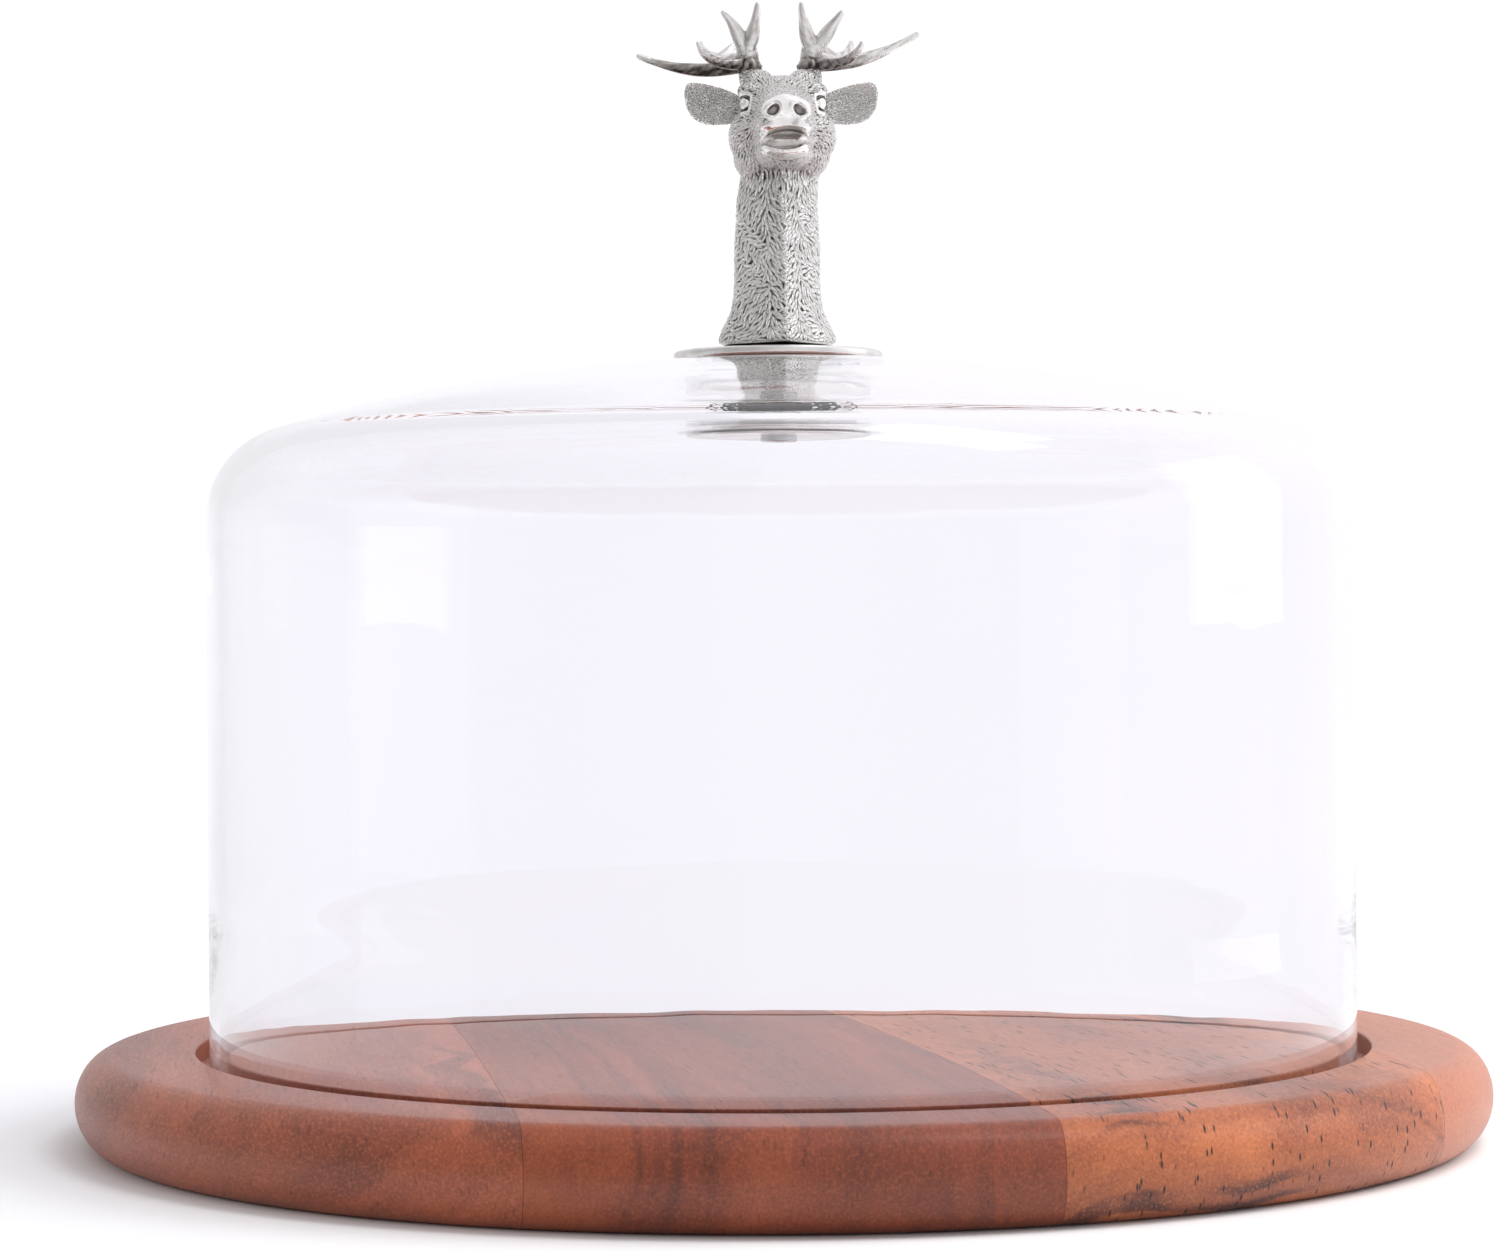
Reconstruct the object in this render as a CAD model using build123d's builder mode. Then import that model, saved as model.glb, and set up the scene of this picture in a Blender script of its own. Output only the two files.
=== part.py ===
from build123d import *
import os
from math import sqrt

# Cheese dome: a clear glass cover with a pewter stag knob, standing in a groove turned in a round
# board that is glued up from four wooden staves.
# Millimetres, +Z up. The origin is the middle of the board's underside, and the stag looks along -Y,
# turned a few degrees on its screw.

# ---------------------------------------------------------------- board
board_margin = 33.2  # how far the board reaches beyond the glass all round
board_thickness = 23.0
rim_round = 9.5  # top and bottom rounding of the board's edge
stave_turn = 8.0  # degrees that the staves' length is turned from +Y
stave_joints = (-78.0, 36.0, 138.5)  # glue lines, across the staves, from the board's middle

# ---------------------------------------------------------------- glass cover
dome_diameter = 289.6
dome_height = 178.5  # from its rim to the top of the crown
glass_wall = 4.4
lip_wall = 2.6  # the wall thins towards the rim
lip_length = 36.0  # height over which the inside widens to that lip
lip_blend = 9.0  # height of the soft turn between lip and wall
crown_radius = 460.0
shoulder_radius = 23.0
rim_edge_round = 1.1
knob_hole_diameter = 12.0

# ---------------------------------------------------------------- groove that holds the cover
groove_depth = 5.0
groove_outer_gap = 3.4  # beside the glass, outside
groove_inner_gap = 2.3  # beside the glass, inside
groove_edge_break = 0.5

# ---------------------------------------------------------------- knob fixing
screw_diameter = 5.0
screw_slip = 0.1  # radial, in every hole that the screw only passes through
screw_head_diameter = 9.4
screw_head_height = 2.8
screw_socket_size = 3.0  # across flats
screw_socket_depth = 1.6
screw_entry = 8.0  # length of thread held by the insert
insert_diameter = 8.0
insert_length = 10.0
washer_diameter = 9.0
washer_thickness = 0.9
washer_gap = 0.8  # where the spring washer is split
clamp_plate_diameter = 47.4
clamp_plate_thickness = 2.0
clamp_plate_round = 0.8
lower_gasket_diameter = 40.0
lower_gasket_thickness = 1.2
upper_gasket_diameter = 30.0
upper_gasket_thickness = 0.6
bush_slip = 0.1  # radial, between the bush and the hole in the glass
flange_diameter = 53.2
flange_edge_thickness = 2.2
flange_gap = 0.25  # between the flange plate and the crown, outside the gasket
boss_diameter = 29.0
boss_height = 0.8  # above the flange plate's top

# ---------------------------------------------------------------- stag bust
knob_turn = 4.0  # degrees that the stag is turned on its screw from facing straight ahead
neck_base_half_width = 15.2
neck_half_width = 11.0
neck_front = 12.6
neck_back = 12.4
neck_height = 50.0
skull_half_width = 12.6
skull_half_height = 12.6
muzzle_half_width = 6.4
muzzle_half_height = 6.6
muzzle_reach = 31.0  # from the neck's axis to the nose
skull_centre_height = 58.4  # above the neck's base
muzzle_centre_height = 54.2
pedicle_offset = 7.6
pedicle_set_back = 3.0
pedicle_radius = 2.6
pedicle_top = 72.0
ear_centre = (18.2, 3.0, 61.8)
ear_half_length = 6.8
ear_half_height = 5.2
ear_thickness = 2.6
ear_root_radius = 3.2

# ---------------------------------------------------------------- antlers
peg_radius = 1.2
peg_length = 4.0
peg_slip = 0.05
burr_radius = 3.1
burr_height = 1.3
beam_radius = 1.9
tine_tip_radius = 0.45
antler_fork = (8.9, 2.2, 77.4)  # outwards, back, up from the neck's base
lateral_rise = {"left": 75.4, "right": 79.2}  # height of the long side tine's tip

# ---------------------------------------------------------------- worked out from the sizes above
dome_radius = dome_diameter / 2
board_radius = dome_radius + board_margin
rim_level = board_thickness - groove_depth
crown_level = rim_level + dome_height
inner_crown_level = crown_level - glass_wall
inner_crown_radius = crown_radius - glass_wall
groove_outer_radius = dome_radius + groove_outer_gap
groove_inner_radius = dome_radius - lip_wall - groove_inner_gap
screw_radius = screw_diameter / 2
passage_radius = screw_radius + screw_slip
flange_radius = flange_diameter / 2


def crown_drop(radius, crown):
    """How far a crown of the given radius has fallen below its top, out at a distance from the axis."""
    return crown - sqrt(crown**2 - radius**2)


flange_edge_level = crown_level - crown_drop(flange_radius, crown_radius) + flange_gap
flange_seat_level = crown_level + upper_gasket_thickness
boss_level = flange_edge_level + flange_edge_thickness + boss_height
bust_level = boss_level
clamp_top_level = inner_crown_level - lower_gasket_thickness
clamp_bottom_level = clamp_top_level - clamp_plate_thickness
screw_seat_level = clamp_bottom_level - washer_thickness
pieces = []


def finish(part, name):
    """Names a finished piece and keeps it for writing."""
    part.label = name
    pieces.append(part)


# ================================================================ board staves
stave_names = ("board_stave_left", "board_stave_mid_left", "board_stave_mid_right", "board_stave_right")
stave_edges = (-board_radius, *stave_joints, board_radius)
stave_plane = Plane.XY.rotated((0, 0, stave_turn))
for stave_name, left_edge, right_edge in zip(stave_names, stave_edges, stave_edges[1:]):
    with BuildPart() as stave:
        Cylinder(board_radius, board_thickness, align=(Align.CENTER, Align.CENTER, Align.MIN))
        fillet(stave.edges().filter_by(GeomType.CIRCLE), rim_round)
        with BuildSketch(Plane.XY.offset(board_thickness)):
            Circle(groove_outer_radius)
            Circle(groove_inner_radius, mode=Mode.SUBTRACT)
        extrude(amount=-groove_depth, mode=Mode.SUBTRACT)
        top_rings = stave.faces().filter_by(Plane.XY).group_by(Axis.Z)[-1].edges()
        groove_rims = [edge for edge in top_rings if edge.radius < groove_outer_radius + groove_edge_break]
        chamfer(groove_rims, groove_edge_break)
        with BuildSketch(stave_plane):
            with Locations(((left_edge + right_edge) / 2, 0)):
                Rectangle(right_edge - left_edge, board_radius * 2)
        extrude(amount=board_thickness, mode=Mode.INTERSECT)
    finish(stave.part, stave_name)


# ================================================================ glass cover
shoulder_x = dome_radius - shoulder_radius
shoulder_z = crown_level - crown_radius + sqrt((crown_radius - shoulder_radius) ** 2 - shoulder_x**2)
crown_centre = Vector(0, crown_level - crown_radius)
shoulder_centre = Vector(shoulder_x, shoulder_z)
crown_turn = (shoulder_centre - crown_centre).normalized()
outer_tangent = crown_centre + crown_turn * crown_radius
inner_tangent = crown_centre + crown_turn * inner_crown_radius
outer_shoulder_start = Vector(dome_radius, shoulder_z)
inner_shoulder_start = Vector(dome_radius - glass_wall, shoulder_z)
lip_inside = Vector(dome_radius - lip_wall, rim_level)
wall_inside = Vector(dome_radius - glass_wall, rim_level + lip_length + lip_blend)
outer_crown_top = Vector(0, crown_level)
inner_crown_top = Vector(0, inner_crown_level)
lip_turn = lip_inside + (wall_inside - lip_inside) * (lip_length / (lip_length + lip_blend))

with BuildPart() as glass_dome:
    with BuildSketch(Plane.XZ):
        with BuildLine():
            Line(lip_inside, (dome_radius, rim_level))
            Line((dome_radius, rim_level), outer_shoulder_start)
            TangentArc(outer_shoulder_start, outer_tangent, tangent=(0, 1))
            TangentArc(outer_tangent, outer_crown_top, tangent=(-crown_turn.Y, crown_turn.X))
            Line(outer_crown_top, inner_crown_top)
            TangentArc(inner_crown_top, inner_tangent, tangent=(1, 0))
            TangentArc(inner_tangent, inner_shoulder_start, tangent=(crown_turn.Y, -crown_turn.X))
            Line(inner_shoulder_start, wall_inside)
            TangentArc(wall_inside, lip_turn, tangent=(0, -1))
            TangentArc(lip_inside, lip_turn, tangent=(0, 1))
        make_face()
    revolve(axis=Axis.Z)
    fillet(glass_dome.edges().group_by(Axis.Z)[0], rim_edge_round)
    with BuildSketch(Plane.XY.offset(inner_crown_level - glass_wall)):
        Circle(knob_hole_diameter / 2)
    extrude(amount=glass_wall * 3, mode=Mode.SUBTRACT)
finish(glass_dome.part, "glass_dome")


def crown_ball(radius, name):
    """A ball whose top is the crown, or the inside of the crown, for trimming what lies against it."""
    with BuildPart() as ball:
        with Locations((0, 0, crown_level - crown_radius)):
            Sphere(radius)
    ball.part.label = name
    return ball.part


outer_ball = crown_ball(crown_radius, "crown")
inner_ball = crown_ball(inner_crown_radius, "inside of the crown")
raised_ball = crown_ball(crown_radius + flange_gap, "crown with the flange's gap")

with BuildPart() as glass_bush:
    with BuildSketch(Plane.XY.offset(inner_crown_level)):
        Circle(knob_hole_diameter / 2 - bush_slip)
        Circle(passage_radius, mode=Mode.SUBTRACT)
    extrude(amount=glass_wall)
    add(outer_ball, mode=Mode.INTERSECT)
finish(glass_bush.part, "glass_bush")

with BuildPart() as upper_gasket:
    with BuildSketch(Plane.XY.offset(inner_crown_level)):
        Circle(upper_gasket_diameter / 2)
        Circle(passage_radius, mode=Mode.SUBTRACT)
    extrude(amount=flange_seat_level - inner_crown_level)
    add(outer_ball, mode=Mode.SUBTRACT)
finish(upper_gasket.part, "upper_gasket")

with BuildPart() as lower_gasket:
    with BuildSketch(Plane.XY.offset(clamp_top_level)):
        Circle(lower_gasket_diameter / 2)
        Circle(passage_radius, mode=Mode.SUBTRACT)
    extrude(amount=lower_gasket_thickness)
    add(inner_ball, mode=Mode.INTERSECT)
finish(lower_gasket.part, "lower_gasket")


# ================================================================ knob fixing
with BuildPart() as flange_plate:
    with BuildSketch(Plane.XY.offset(inner_crown_level)):
        Circle(flange_radius)
    extrude(amount=flange_edge_level + flange_edge_thickness - inner_crown_level)
    with BuildSketch(Plane.XY.offset(flange_edge_level + flange_edge_thickness)):
        Circle(boss_diameter / 2)
    extrude(amount=boss_height)
    add(raised_ball, mode=Mode.SUBTRACT)
    with BuildSketch(Plane.XY.offset(inner_crown_level)):
        Circle(upper_gasket_diameter / 2 + flange_gap)
    extrude(amount=flange_seat_level - inner_crown_level, mode=Mode.SUBTRACT)
    outer_edges = [edge for edge in flange_plate.edges().filter_by(GeomType.CIRCLE)
                   if edge.radius > flange_radius - flange_gap]
    fillet(outer_edges, flange_edge_thickness * 0.4)
    with Locations((0, 0, boss_level)):
        Hole(passage_radius)
finish(flange_plate.part, "flange_plate")

with BuildPart() as clamp_plate:
    with BuildSketch(Plane.XY.offset(clamp_bottom_level)):
        Circle(clamp_plate_diameter / 2)
    extrude(amount=clamp_plate_thickness)
    fillet(clamp_plate.edges(), clamp_plate_round)
    with Locations((0, 0, clamp_top_level)):
        Hole(passage_radius)
finish(clamp_plate.part, "clamp_plate")

with BuildPart() as lock_washer:
    with BuildSketch(Plane.XY.offset(screw_seat_level)):
        Circle(washer_diameter / 2)
        Circle(passage_radius, mode=Mode.SUBTRACT)
        with Locations((washer_diameter / 2, 0)):
            Rectangle(washer_diameter, washer_gap, mode=Mode.SUBTRACT)
    extrude(amount=washer_thickness)
finish(lock_washer.part, "lock_washer")

with BuildPart() as knob_screw:
    with BuildSketch(Plane.XY.offset(screw_seat_level - screw_head_height)):
        Circle(screw_head_diameter / 2)
    extrude(amount=screw_head_height)
    fillet(knob_screw.edges().group_by(Axis.Z)[0], screw_head_height / 3)
    with BuildSketch(Plane.XY.offset(screw_seat_level)):
        Circle(screw_radius)
    extrude(amount=bust_level + screw_entry - screw_seat_level)
    chamfer(knob_screw.edges().group_by(Axis.Z)[-1], screw_radius / 5)
    with BuildSketch(Plane.XY.offset(screw_seat_level - screw_head_height)):
        RegularPolygon(screw_socket_size / 2, 6, major_radius=False)
    extrude(amount=screw_socket_depth, mode=Mode.SUBTRACT)
finish(knob_screw.part, "knob_screw")

with BuildPart() as knob_insert:
    with BuildSketch(Plane.XY.offset(bust_level)):
        Circle(insert_diameter / 2)
        Circle(screw_radius, mode=Mode.SUBTRACT)
    extrude(amount=insert_length)
finish(knob_insert.part, "knob_insert")


# ================================================================ stag bust
# height above the neck's base, half width, front ridge, back
neck_sections = (
    (0.0, neck_base_half_width, neck_base_half_width, neck_base_half_width * 0.95),
    (4.0, neck_base_half_width * 0.9, neck_front * 1.1, neck_back * 1.08),
    (11.0, neck_half_width * 1.06, neck_front, neck_back),
    (26.0, neck_half_width, neck_front * 0.96, neck_back),
    (42.0, neck_half_width * 0.93, neck_front * 0.88, neck_back),
    (neck_height, neck_half_width * 0.9, neck_front * 0.8, neck_back * 0.96),
)
# share of the way from the back of the skull to the nose, half width, half height, how far up the skull
head_sections = (
    (0.0, skull_half_width * 0.45, skull_half_height * 0.45, 1.0),
    (0.1, skull_half_width * 0.8, skull_half_height * 0.8, 1.0),
    (0.35, skull_half_width, skull_half_height, 1.0),
    (0.6, skull_half_width * 0.85, skull_half_height * 0.78, 0.7),
    (0.82, muzzle_half_width * 1.1, muzzle_half_height * 1.05, 0.2),
    (0.97, muzzle_half_width, muzzle_half_height, 0.0),
    (1.0, muzzle_half_width * 0.8, muzzle_half_height * 0.8, 0.0),
)
skull_back = neck_back + peg_radius

with BuildPart() as stag_bust:
    for height, half_width, front, back in neck_sections:
        with BuildSketch(Plane.XY.offset(bust_level + height)):
            with BuildLine():
                ThreePointArc((0, -front), (half_width, 0), (0, back))
                mirror(about=Plane.YZ)
            make_face()
    loft()
    for share, half_width, half_height, skull_part in head_sections:
        centre_height = muzzle_centre_height + (skull_centre_height - muzzle_centre_height) * skull_part
        centre_y = skull_back - (skull_back + muzzle_reach) * share
        with BuildSketch(Plane((0, centre_y, bust_level + centre_height), x_dir=(1, 0, 0), z_dir=(0, -1, 0))):
            Ellipse(half_width, half_height)
    loft()
    for side in (-1, 1):
        with BuildSketch(Plane.XY.offset(bust_level + skull_centre_height)):
            with Locations((side * pedicle_offset, pedicle_set_back)):
                Circle(pedicle_radius)
        extrude(amount=pedicle_top - skull_centre_height)
        with BuildSketch(Plane.XZ.offset(-ear_centre[1] - ear_thickness / 2)):
            with Locations(Location((side * ear_centre[0], bust_level + ear_centre[2]), side * 18)):
                Ellipse(ear_half_length, ear_half_height)
            with Locations((side * skull_half_width * 0.8, bust_level + ear_centre[2] - 1)):
                Circle(ear_root_radius)
            make_hull()
        extrude(amount=ear_thickness)
        with Locations((side * pedicle_offset, pedicle_set_back, bust_level + pedicle_top)):
            Hole(peg_radius + peg_slip, depth=peg_length + peg_slip)
    with BuildSketch(Plane.XY.offset(bust_level)):
        Circle(insert_diameter / 2)
    extrude(amount=insert_length, mode=Mode.SUBTRACT)
finish(stag_bust.part.rotate(Axis.Z, knob_turn), "stag_bust")


# ================================================================ antlers
def tine(start, middle, end, root_radius, tip_radius):
    """A tapering round branch along the arc through three points, joined to the part being built."""
    with BuildLine(mode=Mode.PRIVATE) as course:
        ThreePointArc(start, middle, end)
    spine = course.edges()[0]
    rings = []
    for share in (0, 0.35, 0.7, 1):
        with BuildSketch(Plane(origin=spine @ share, z_dir=spine % share)) as ring:
            Circle(root_radius + (tip_radius - root_radius) * share)
        rings.append(ring.sketch)
    loft(rings)


def antler_point(side, outwards, back, up):
    """A point given from the middle of the neck's base, mirrored for the antler on the other side."""
    return (side * outwards, back, bust_level + up)


for side_name, side in (("left", -1), ("right", 1)):
    seat = antler_point(side, pedicle_offset, pedicle_set_back, pedicle_top)
    fork = antler_point(side, *antler_fork)
    side_tip_up = lateral_rise[side_name]
    with BuildPart() as antler:
        with BuildSketch(Plane(seat)):
            Circle(burr_radius)
        extrude(amount=burr_height)
        fillet(antler.edges().group_by(Axis.Z)[-1], burr_height * 0.4)
        with BuildSketch(Plane(seat)):
            Circle(peg_radius)
        extrude(amount=-peg_length)
        # trunk up to the fork, then the two upright tines
        tine((seat[0], seat[1], seat[2] + burr_height * 0.5),
             antler_point(side, 8.0, 3.0, 75.0), fork, beam_radius * 1.15, beam_radius * 0.9)
        tine(antler_point(side, 8.7, 2.4, 76.0), antler_point(side, 11.2, 0.6, 81.5),
             antler_point(side, 14.3, -0.6, 85.8), beam_radius * 0.75, tine_tip_radius)
        tine(antler_point(side, 8.7, 2.4, 76.0), antler_point(side, 6.7, 0.4, 82.0),
             antler_point(side, 5.6, -1.2, 88.4), beam_radius * 0.8, tine_tip_radius)
        # beam running back, with its two rear branches
        tine(antler_point(side, 8.3, 2.6, 75.2), antler_point(side, 13.2, 11.0, 74.6),
             antler_point(side, 16.8, 20.0, 77.2), beam_radius * 0.9, beam_radius * 0.6)
        tine(antler_point(side, 16.3, 18.6, 76.7), antler_point(side, 18.8, 23.5, 79.0),
             antler_point(side, 19.8, 28.0, 82.6), beam_radius * 0.62, tine_tip_radius)
        tine(antler_point(side, 15.2, 15.6, 75.6), antler_point(side, 12.6, 19.8, 79.0),
             antler_point(side, 8.4, 22.4, 82.4), beam_radius * 0.5, tine_tip_radius)
        # long side tine, and the small one in front of it
        tine(antler_point(side, 8.4, 3.6, 74.6), antler_point(side, 22.0, 6.4, (side_tip_up + 71.6) / 2),
             antler_point(side, 36.6, 8.0, side_tip_up), beam_radius * 0.8, tine_tip_radius)
        tine(antler_point(side, 9.6, 2.2, 74.6), antler_point(side, 16.2, -1.6, 74.3),
             antler_point(side, 21.4, -4.0, 77.4), beam_radius * 0.6, tine_tip_radius)
    finish(antler.part.rotate(Axis.Z, knob_turn), f"antler_{side_name}")


# ================================================================ files
os.makedirs("parts", exist_ok=True)
for piece in pieces:
    export_step(piece, f"parts/{piece.label}.step")
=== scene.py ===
"""Looks of a glass cheese dome with a pewter stag knob, on a round board of glued wooden staves.

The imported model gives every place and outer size. This script models the visible pieces in finer detail,
dresses them, and sets up a pale studio. Everything is in metres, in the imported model's frame: +Z up, the
stag looking along -Y.
"""

import logging
import math
from dataclasses import dataclass
from enum import Enum
from typing import Sequence

import bpy
import numpy as np
from mathutils import Matrix, Vector
from mathutils.kdtree import KDTree


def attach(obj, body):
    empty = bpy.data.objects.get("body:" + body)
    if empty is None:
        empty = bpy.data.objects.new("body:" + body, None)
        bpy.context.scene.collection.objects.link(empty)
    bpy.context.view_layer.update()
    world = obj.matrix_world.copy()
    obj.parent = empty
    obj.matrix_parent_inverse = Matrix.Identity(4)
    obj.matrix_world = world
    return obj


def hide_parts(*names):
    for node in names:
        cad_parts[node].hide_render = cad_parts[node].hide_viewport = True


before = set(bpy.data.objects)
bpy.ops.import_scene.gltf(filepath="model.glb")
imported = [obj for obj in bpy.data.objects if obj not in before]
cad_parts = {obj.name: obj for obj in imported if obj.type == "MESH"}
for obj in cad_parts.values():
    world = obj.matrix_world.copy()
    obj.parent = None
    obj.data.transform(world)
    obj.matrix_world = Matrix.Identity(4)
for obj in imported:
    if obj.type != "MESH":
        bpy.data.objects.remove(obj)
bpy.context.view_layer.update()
MM = 0.001
WELD = MM * 0.002  # points closer than this are one point
KNOB_BASE = 0.19898  # the underside of the knob, above the table
LOG = logging.getLogger("cheese_dome")
Spot = tuple[float, float]
Point = tuple[float, float, float]
Colour = tuple[float, float, float]


# ------------------------------------------------------------------------------------- shader tools
class Signal:
    """A shader socket that can be used in arithmetic; each operation adds its Math node."""

    def __init__(self, paint: "NodeDesk", socket: bpy.types.NodeSocket) -> None:
        """Wraps an output socket of the tree under construction."""
        self.paint = paint
        self.socket = socket

    def _math(self, operation: str, first: "Signal | float", second: "Signal | float" = 0.0) -> "Signal":
        """Adds a Math node and gives its result."""
        node = self.paint.node("ShaderNodeMath", {"operation": operation}, {0: first, 1: second})
        return Signal(self.paint, node.outputs[0])

    def __add__(self, other: "Signal | float") -> "Signal":
        """Adds a value."""
        return self._math("ADD", self, other)

    __radd__ = __add__

    def __sub__(self, other: "Signal | float") -> "Signal":
        """Takes a value away."""
        return self._math("SUBTRACT", self, other)

    def __rsub__(self, other: "Signal | float") -> "Signal":
        """Is taken away from a value."""
        return self._math("SUBTRACT", other, self)

    def __mul__(self, other: "Signal | float") -> "Signal":
        """Multiplies by a value."""
        return self._math("MULTIPLY", self, other)

    __rmul__ = __mul__

    def __truediv__(self, other: "Signal | float") -> "Signal":
        """Divides by a value."""
        return self._math("DIVIDE", self, other)

    def sine(self) -> "Signal":
        """Gives the sine."""
        return self._math("SINE", self)

    def root(self) -> "Signal":
        """Gives the square root."""
        return self._math("SQRT", self)

    def over(self, low: float, high: float) -> "Signal":
        """Gives a soft step.

        Args:
            low: the value at which the step starts.
            high: the value at which it is complete.

        Returns:
            0 below low, 1 above high, smooth between.
        """
        settings = {"interpolation_type": "SMOOTHSTEP"}
        node = self.paint.node("ShaderNodeMapRange", settings, {"Value": self, 1: low, 2: high})
        return Signal(self.paint, node.outputs[0])


class NodeDesk:
    """A node tree under construction."""

    def __init__(self, tree: bpy.types.NodeTree) -> None:
        """Empties a tree and takes it over."""
        self.tree = tree
        self.tree.nodes.clear()

    def node(self, kind: str, settings: dict | None = None, inputs: dict | None = None) -> bpy.types.Node:
        """Adds any node.

        Args:
            kind: the node's type.
            settings: its own properties; "stops" holds a colour ramp's places and colours.
            inputs: values or links for its sockets, by name or number.

        Returns:
            The new node.
        """
        node = self.tree.nodes.new(kind)
        for name, value in (settings or {}).items():
            if name == "stops":
                self._set_stops(node.color_ramp, value)
            else:
                setattr(node, name, value)
        for name, value in (inputs or {}).items():
            self.feed(node.inputs[name], value)
        return node

    @staticmethod
    def _set_stops(ramp: bpy.types.ColorRamp, stops: Sequence[tuple[float, Colour]]) -> None:
        """Fills a colour ramp.

        Args:
            ramp: the ramp to fill.
            stops: places from 0 to 1 with their colours.
        """
        while len(ramp.elements) < len(stops):
            ramp.elements.new(1.0)
        for element, (place, colour) in zip(ramp.elements, stops):
            element.position = place
            element.color = (*colour, 1.0)

    def feed(self, socket: bpy.types.NodeSocket, value: object) -> None:
        """Gives a socket its value or its link.

        Args:
            socket: the input to set.
            value: a Signal, an output socket, a number or a tuple.
        """
        if isinstance(value, Signal):
            self.tree.links.new(value.socket, socket)
        elif isinstance(value, bpy.types.NodeSocket):
            self.tree.links.new(value, socket)
        elif socket.type == "RGBA" and len(value) == 3:
            socket.default_value = (*value, 1.0)
        else:
            socket.default_value = value

    def place(self, scale: Point = (1, 1, 1), turn: float = 0.0,
              shift: Point = (0, 0, 0)) -> bpy.types.NodeSocket:
        """Gives the object coordinates, moved, turned about Z and scaled.

        Args:
            scale: how much each axis is stretched.
            turn: degrees about Z.
            shift: what is added, in metres.

        Returns:
            The vector.
        """
        source = self.node("ShaderNodeTexCoord").outputs["Object"]
        angle = (0.0, 0.0, math.radians(turn))
        sockets = {"Vector": source, "Rotation": angle, "Location": shift}
        turned = self.node("ShaderNodeMapping", {}, sockets)
        return self.node("ShaderNodeMapping", {}, {"Vector": turned.outputs[0], "Scale": scale}).outputs[0]

    def noise(self, vector: bpy.types.NodeSocket, scale: float, detail: float = 3.0,
              rough: float = 0.55) -> Signal:
        """Adds a noise pattern, about 0 to 1; scale is per metre, rough the finer octaves' strength."""
        sockets = {"Vector": vector, "Scale": scale, "Detail": detail, "Roughness": rough}
        return Signal(self, self.node("ShaderNodeTexNoise", {}, sockets).outputs["Fac"])

    def cells(self, vector: bpy.types.NodeSocket, scale: float) -> Signal:
        """Adds a cell pattern, in cells per metre, and gives the distance to the nearest cell's middle."""
        node = self.node("ShaderNodeTexVoronoi", {}, {"Vector": vector, "Scale": scale})
        return Signal(self, node.outputs["Distance"])

    def attribute(self, name: str) -> Signal:
        """Reads a number that the mesh carries."""
        return Signal(self, self.node("ShaderNodeAttribute", {"attribute_name": name}).outputs["Fac"])

    def axes(self, vector: bpy.types.NodeSocket) -> tuple[Signal, Signal, Signal]:
        """Splits a vector into its three numbers."""
        parts = self.node("ShaderNodeSeparateXYZ", {}, {0: vector}).outputs
        return Signal(self, parts[0]), Signal(self, parts[1]), Signal(self, parts[2])

    def vector(self, x: "Signal | float", y: "Signal | float", z: "Signal | float") -> bpy.types.NodeSocket:
        """Joins three numbers into a vector."""
        return self.node("ShaderNodeCombineXYZ", {}, {0: x, 1: y, 2: z}).outputs[0]

    def ramp(self, signal: Signal, stops: Sequence[tuple[float, Colour]]) -> bpy.types.NodeSocket:
        """Turns a number into a colour."""
        return self.node("ShaderNodeValToRGB", {"stops": stops}, {0: signal}).outputs[0]

    def mix(self, factor: "Signal | float", first: object, second: object) -> bpy.types.NodeSocket:
        """Mixes two colours.

        Args:
            factor: the share of the second.
            first: the first colour or link.
            second: the second colour or link.

        Returns:
            The mixed colour.
        """
        node = self.node("ShaderNodeMix", {"data_type": "RGBA"}, {0: factor, 6: first, 7: second})
        return node.outputs[2]


class Paint(NodeDesk):
    """A material under construction: one Principled shader and the nodes that feed it."""

    def __init__(self, name: str) -> None:
        """Starts a material.

        Args:
            name: the material's name.
        """
        self.material = bpy.data.materials.new(name)
        self.material.use_nodes = True
        super().__init__(self.material.node_tree)
        self.output = self.node("ShaderNodeOutputMaterial")
        self.shader = self.node("ShaderNodeBsdfPrincipled")
        self.feed(self.output.inputs["Surface"], self.shader.outputs[0])

    def set(self, **values: object) -> None:
        """Sets the Principled shader's sockets; an underscore in a name stands for a space."""
        for name, value in values.items():
            self.feed(self.shader.inputs[name.replace("_", " ")], value)

    def bump(self, height: Signal, depth: float, strength: float = 1.0) -> None:
        """Feeds a height, 0 to 1, through a Bump node of a depth in metres to the shader's normal."""
        node = self.node("ShaderNodeBump", {}, {"Height": height, "Distance": depth, "Strength": strength})
        self.set(Normal=node.outputs[0])


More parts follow.
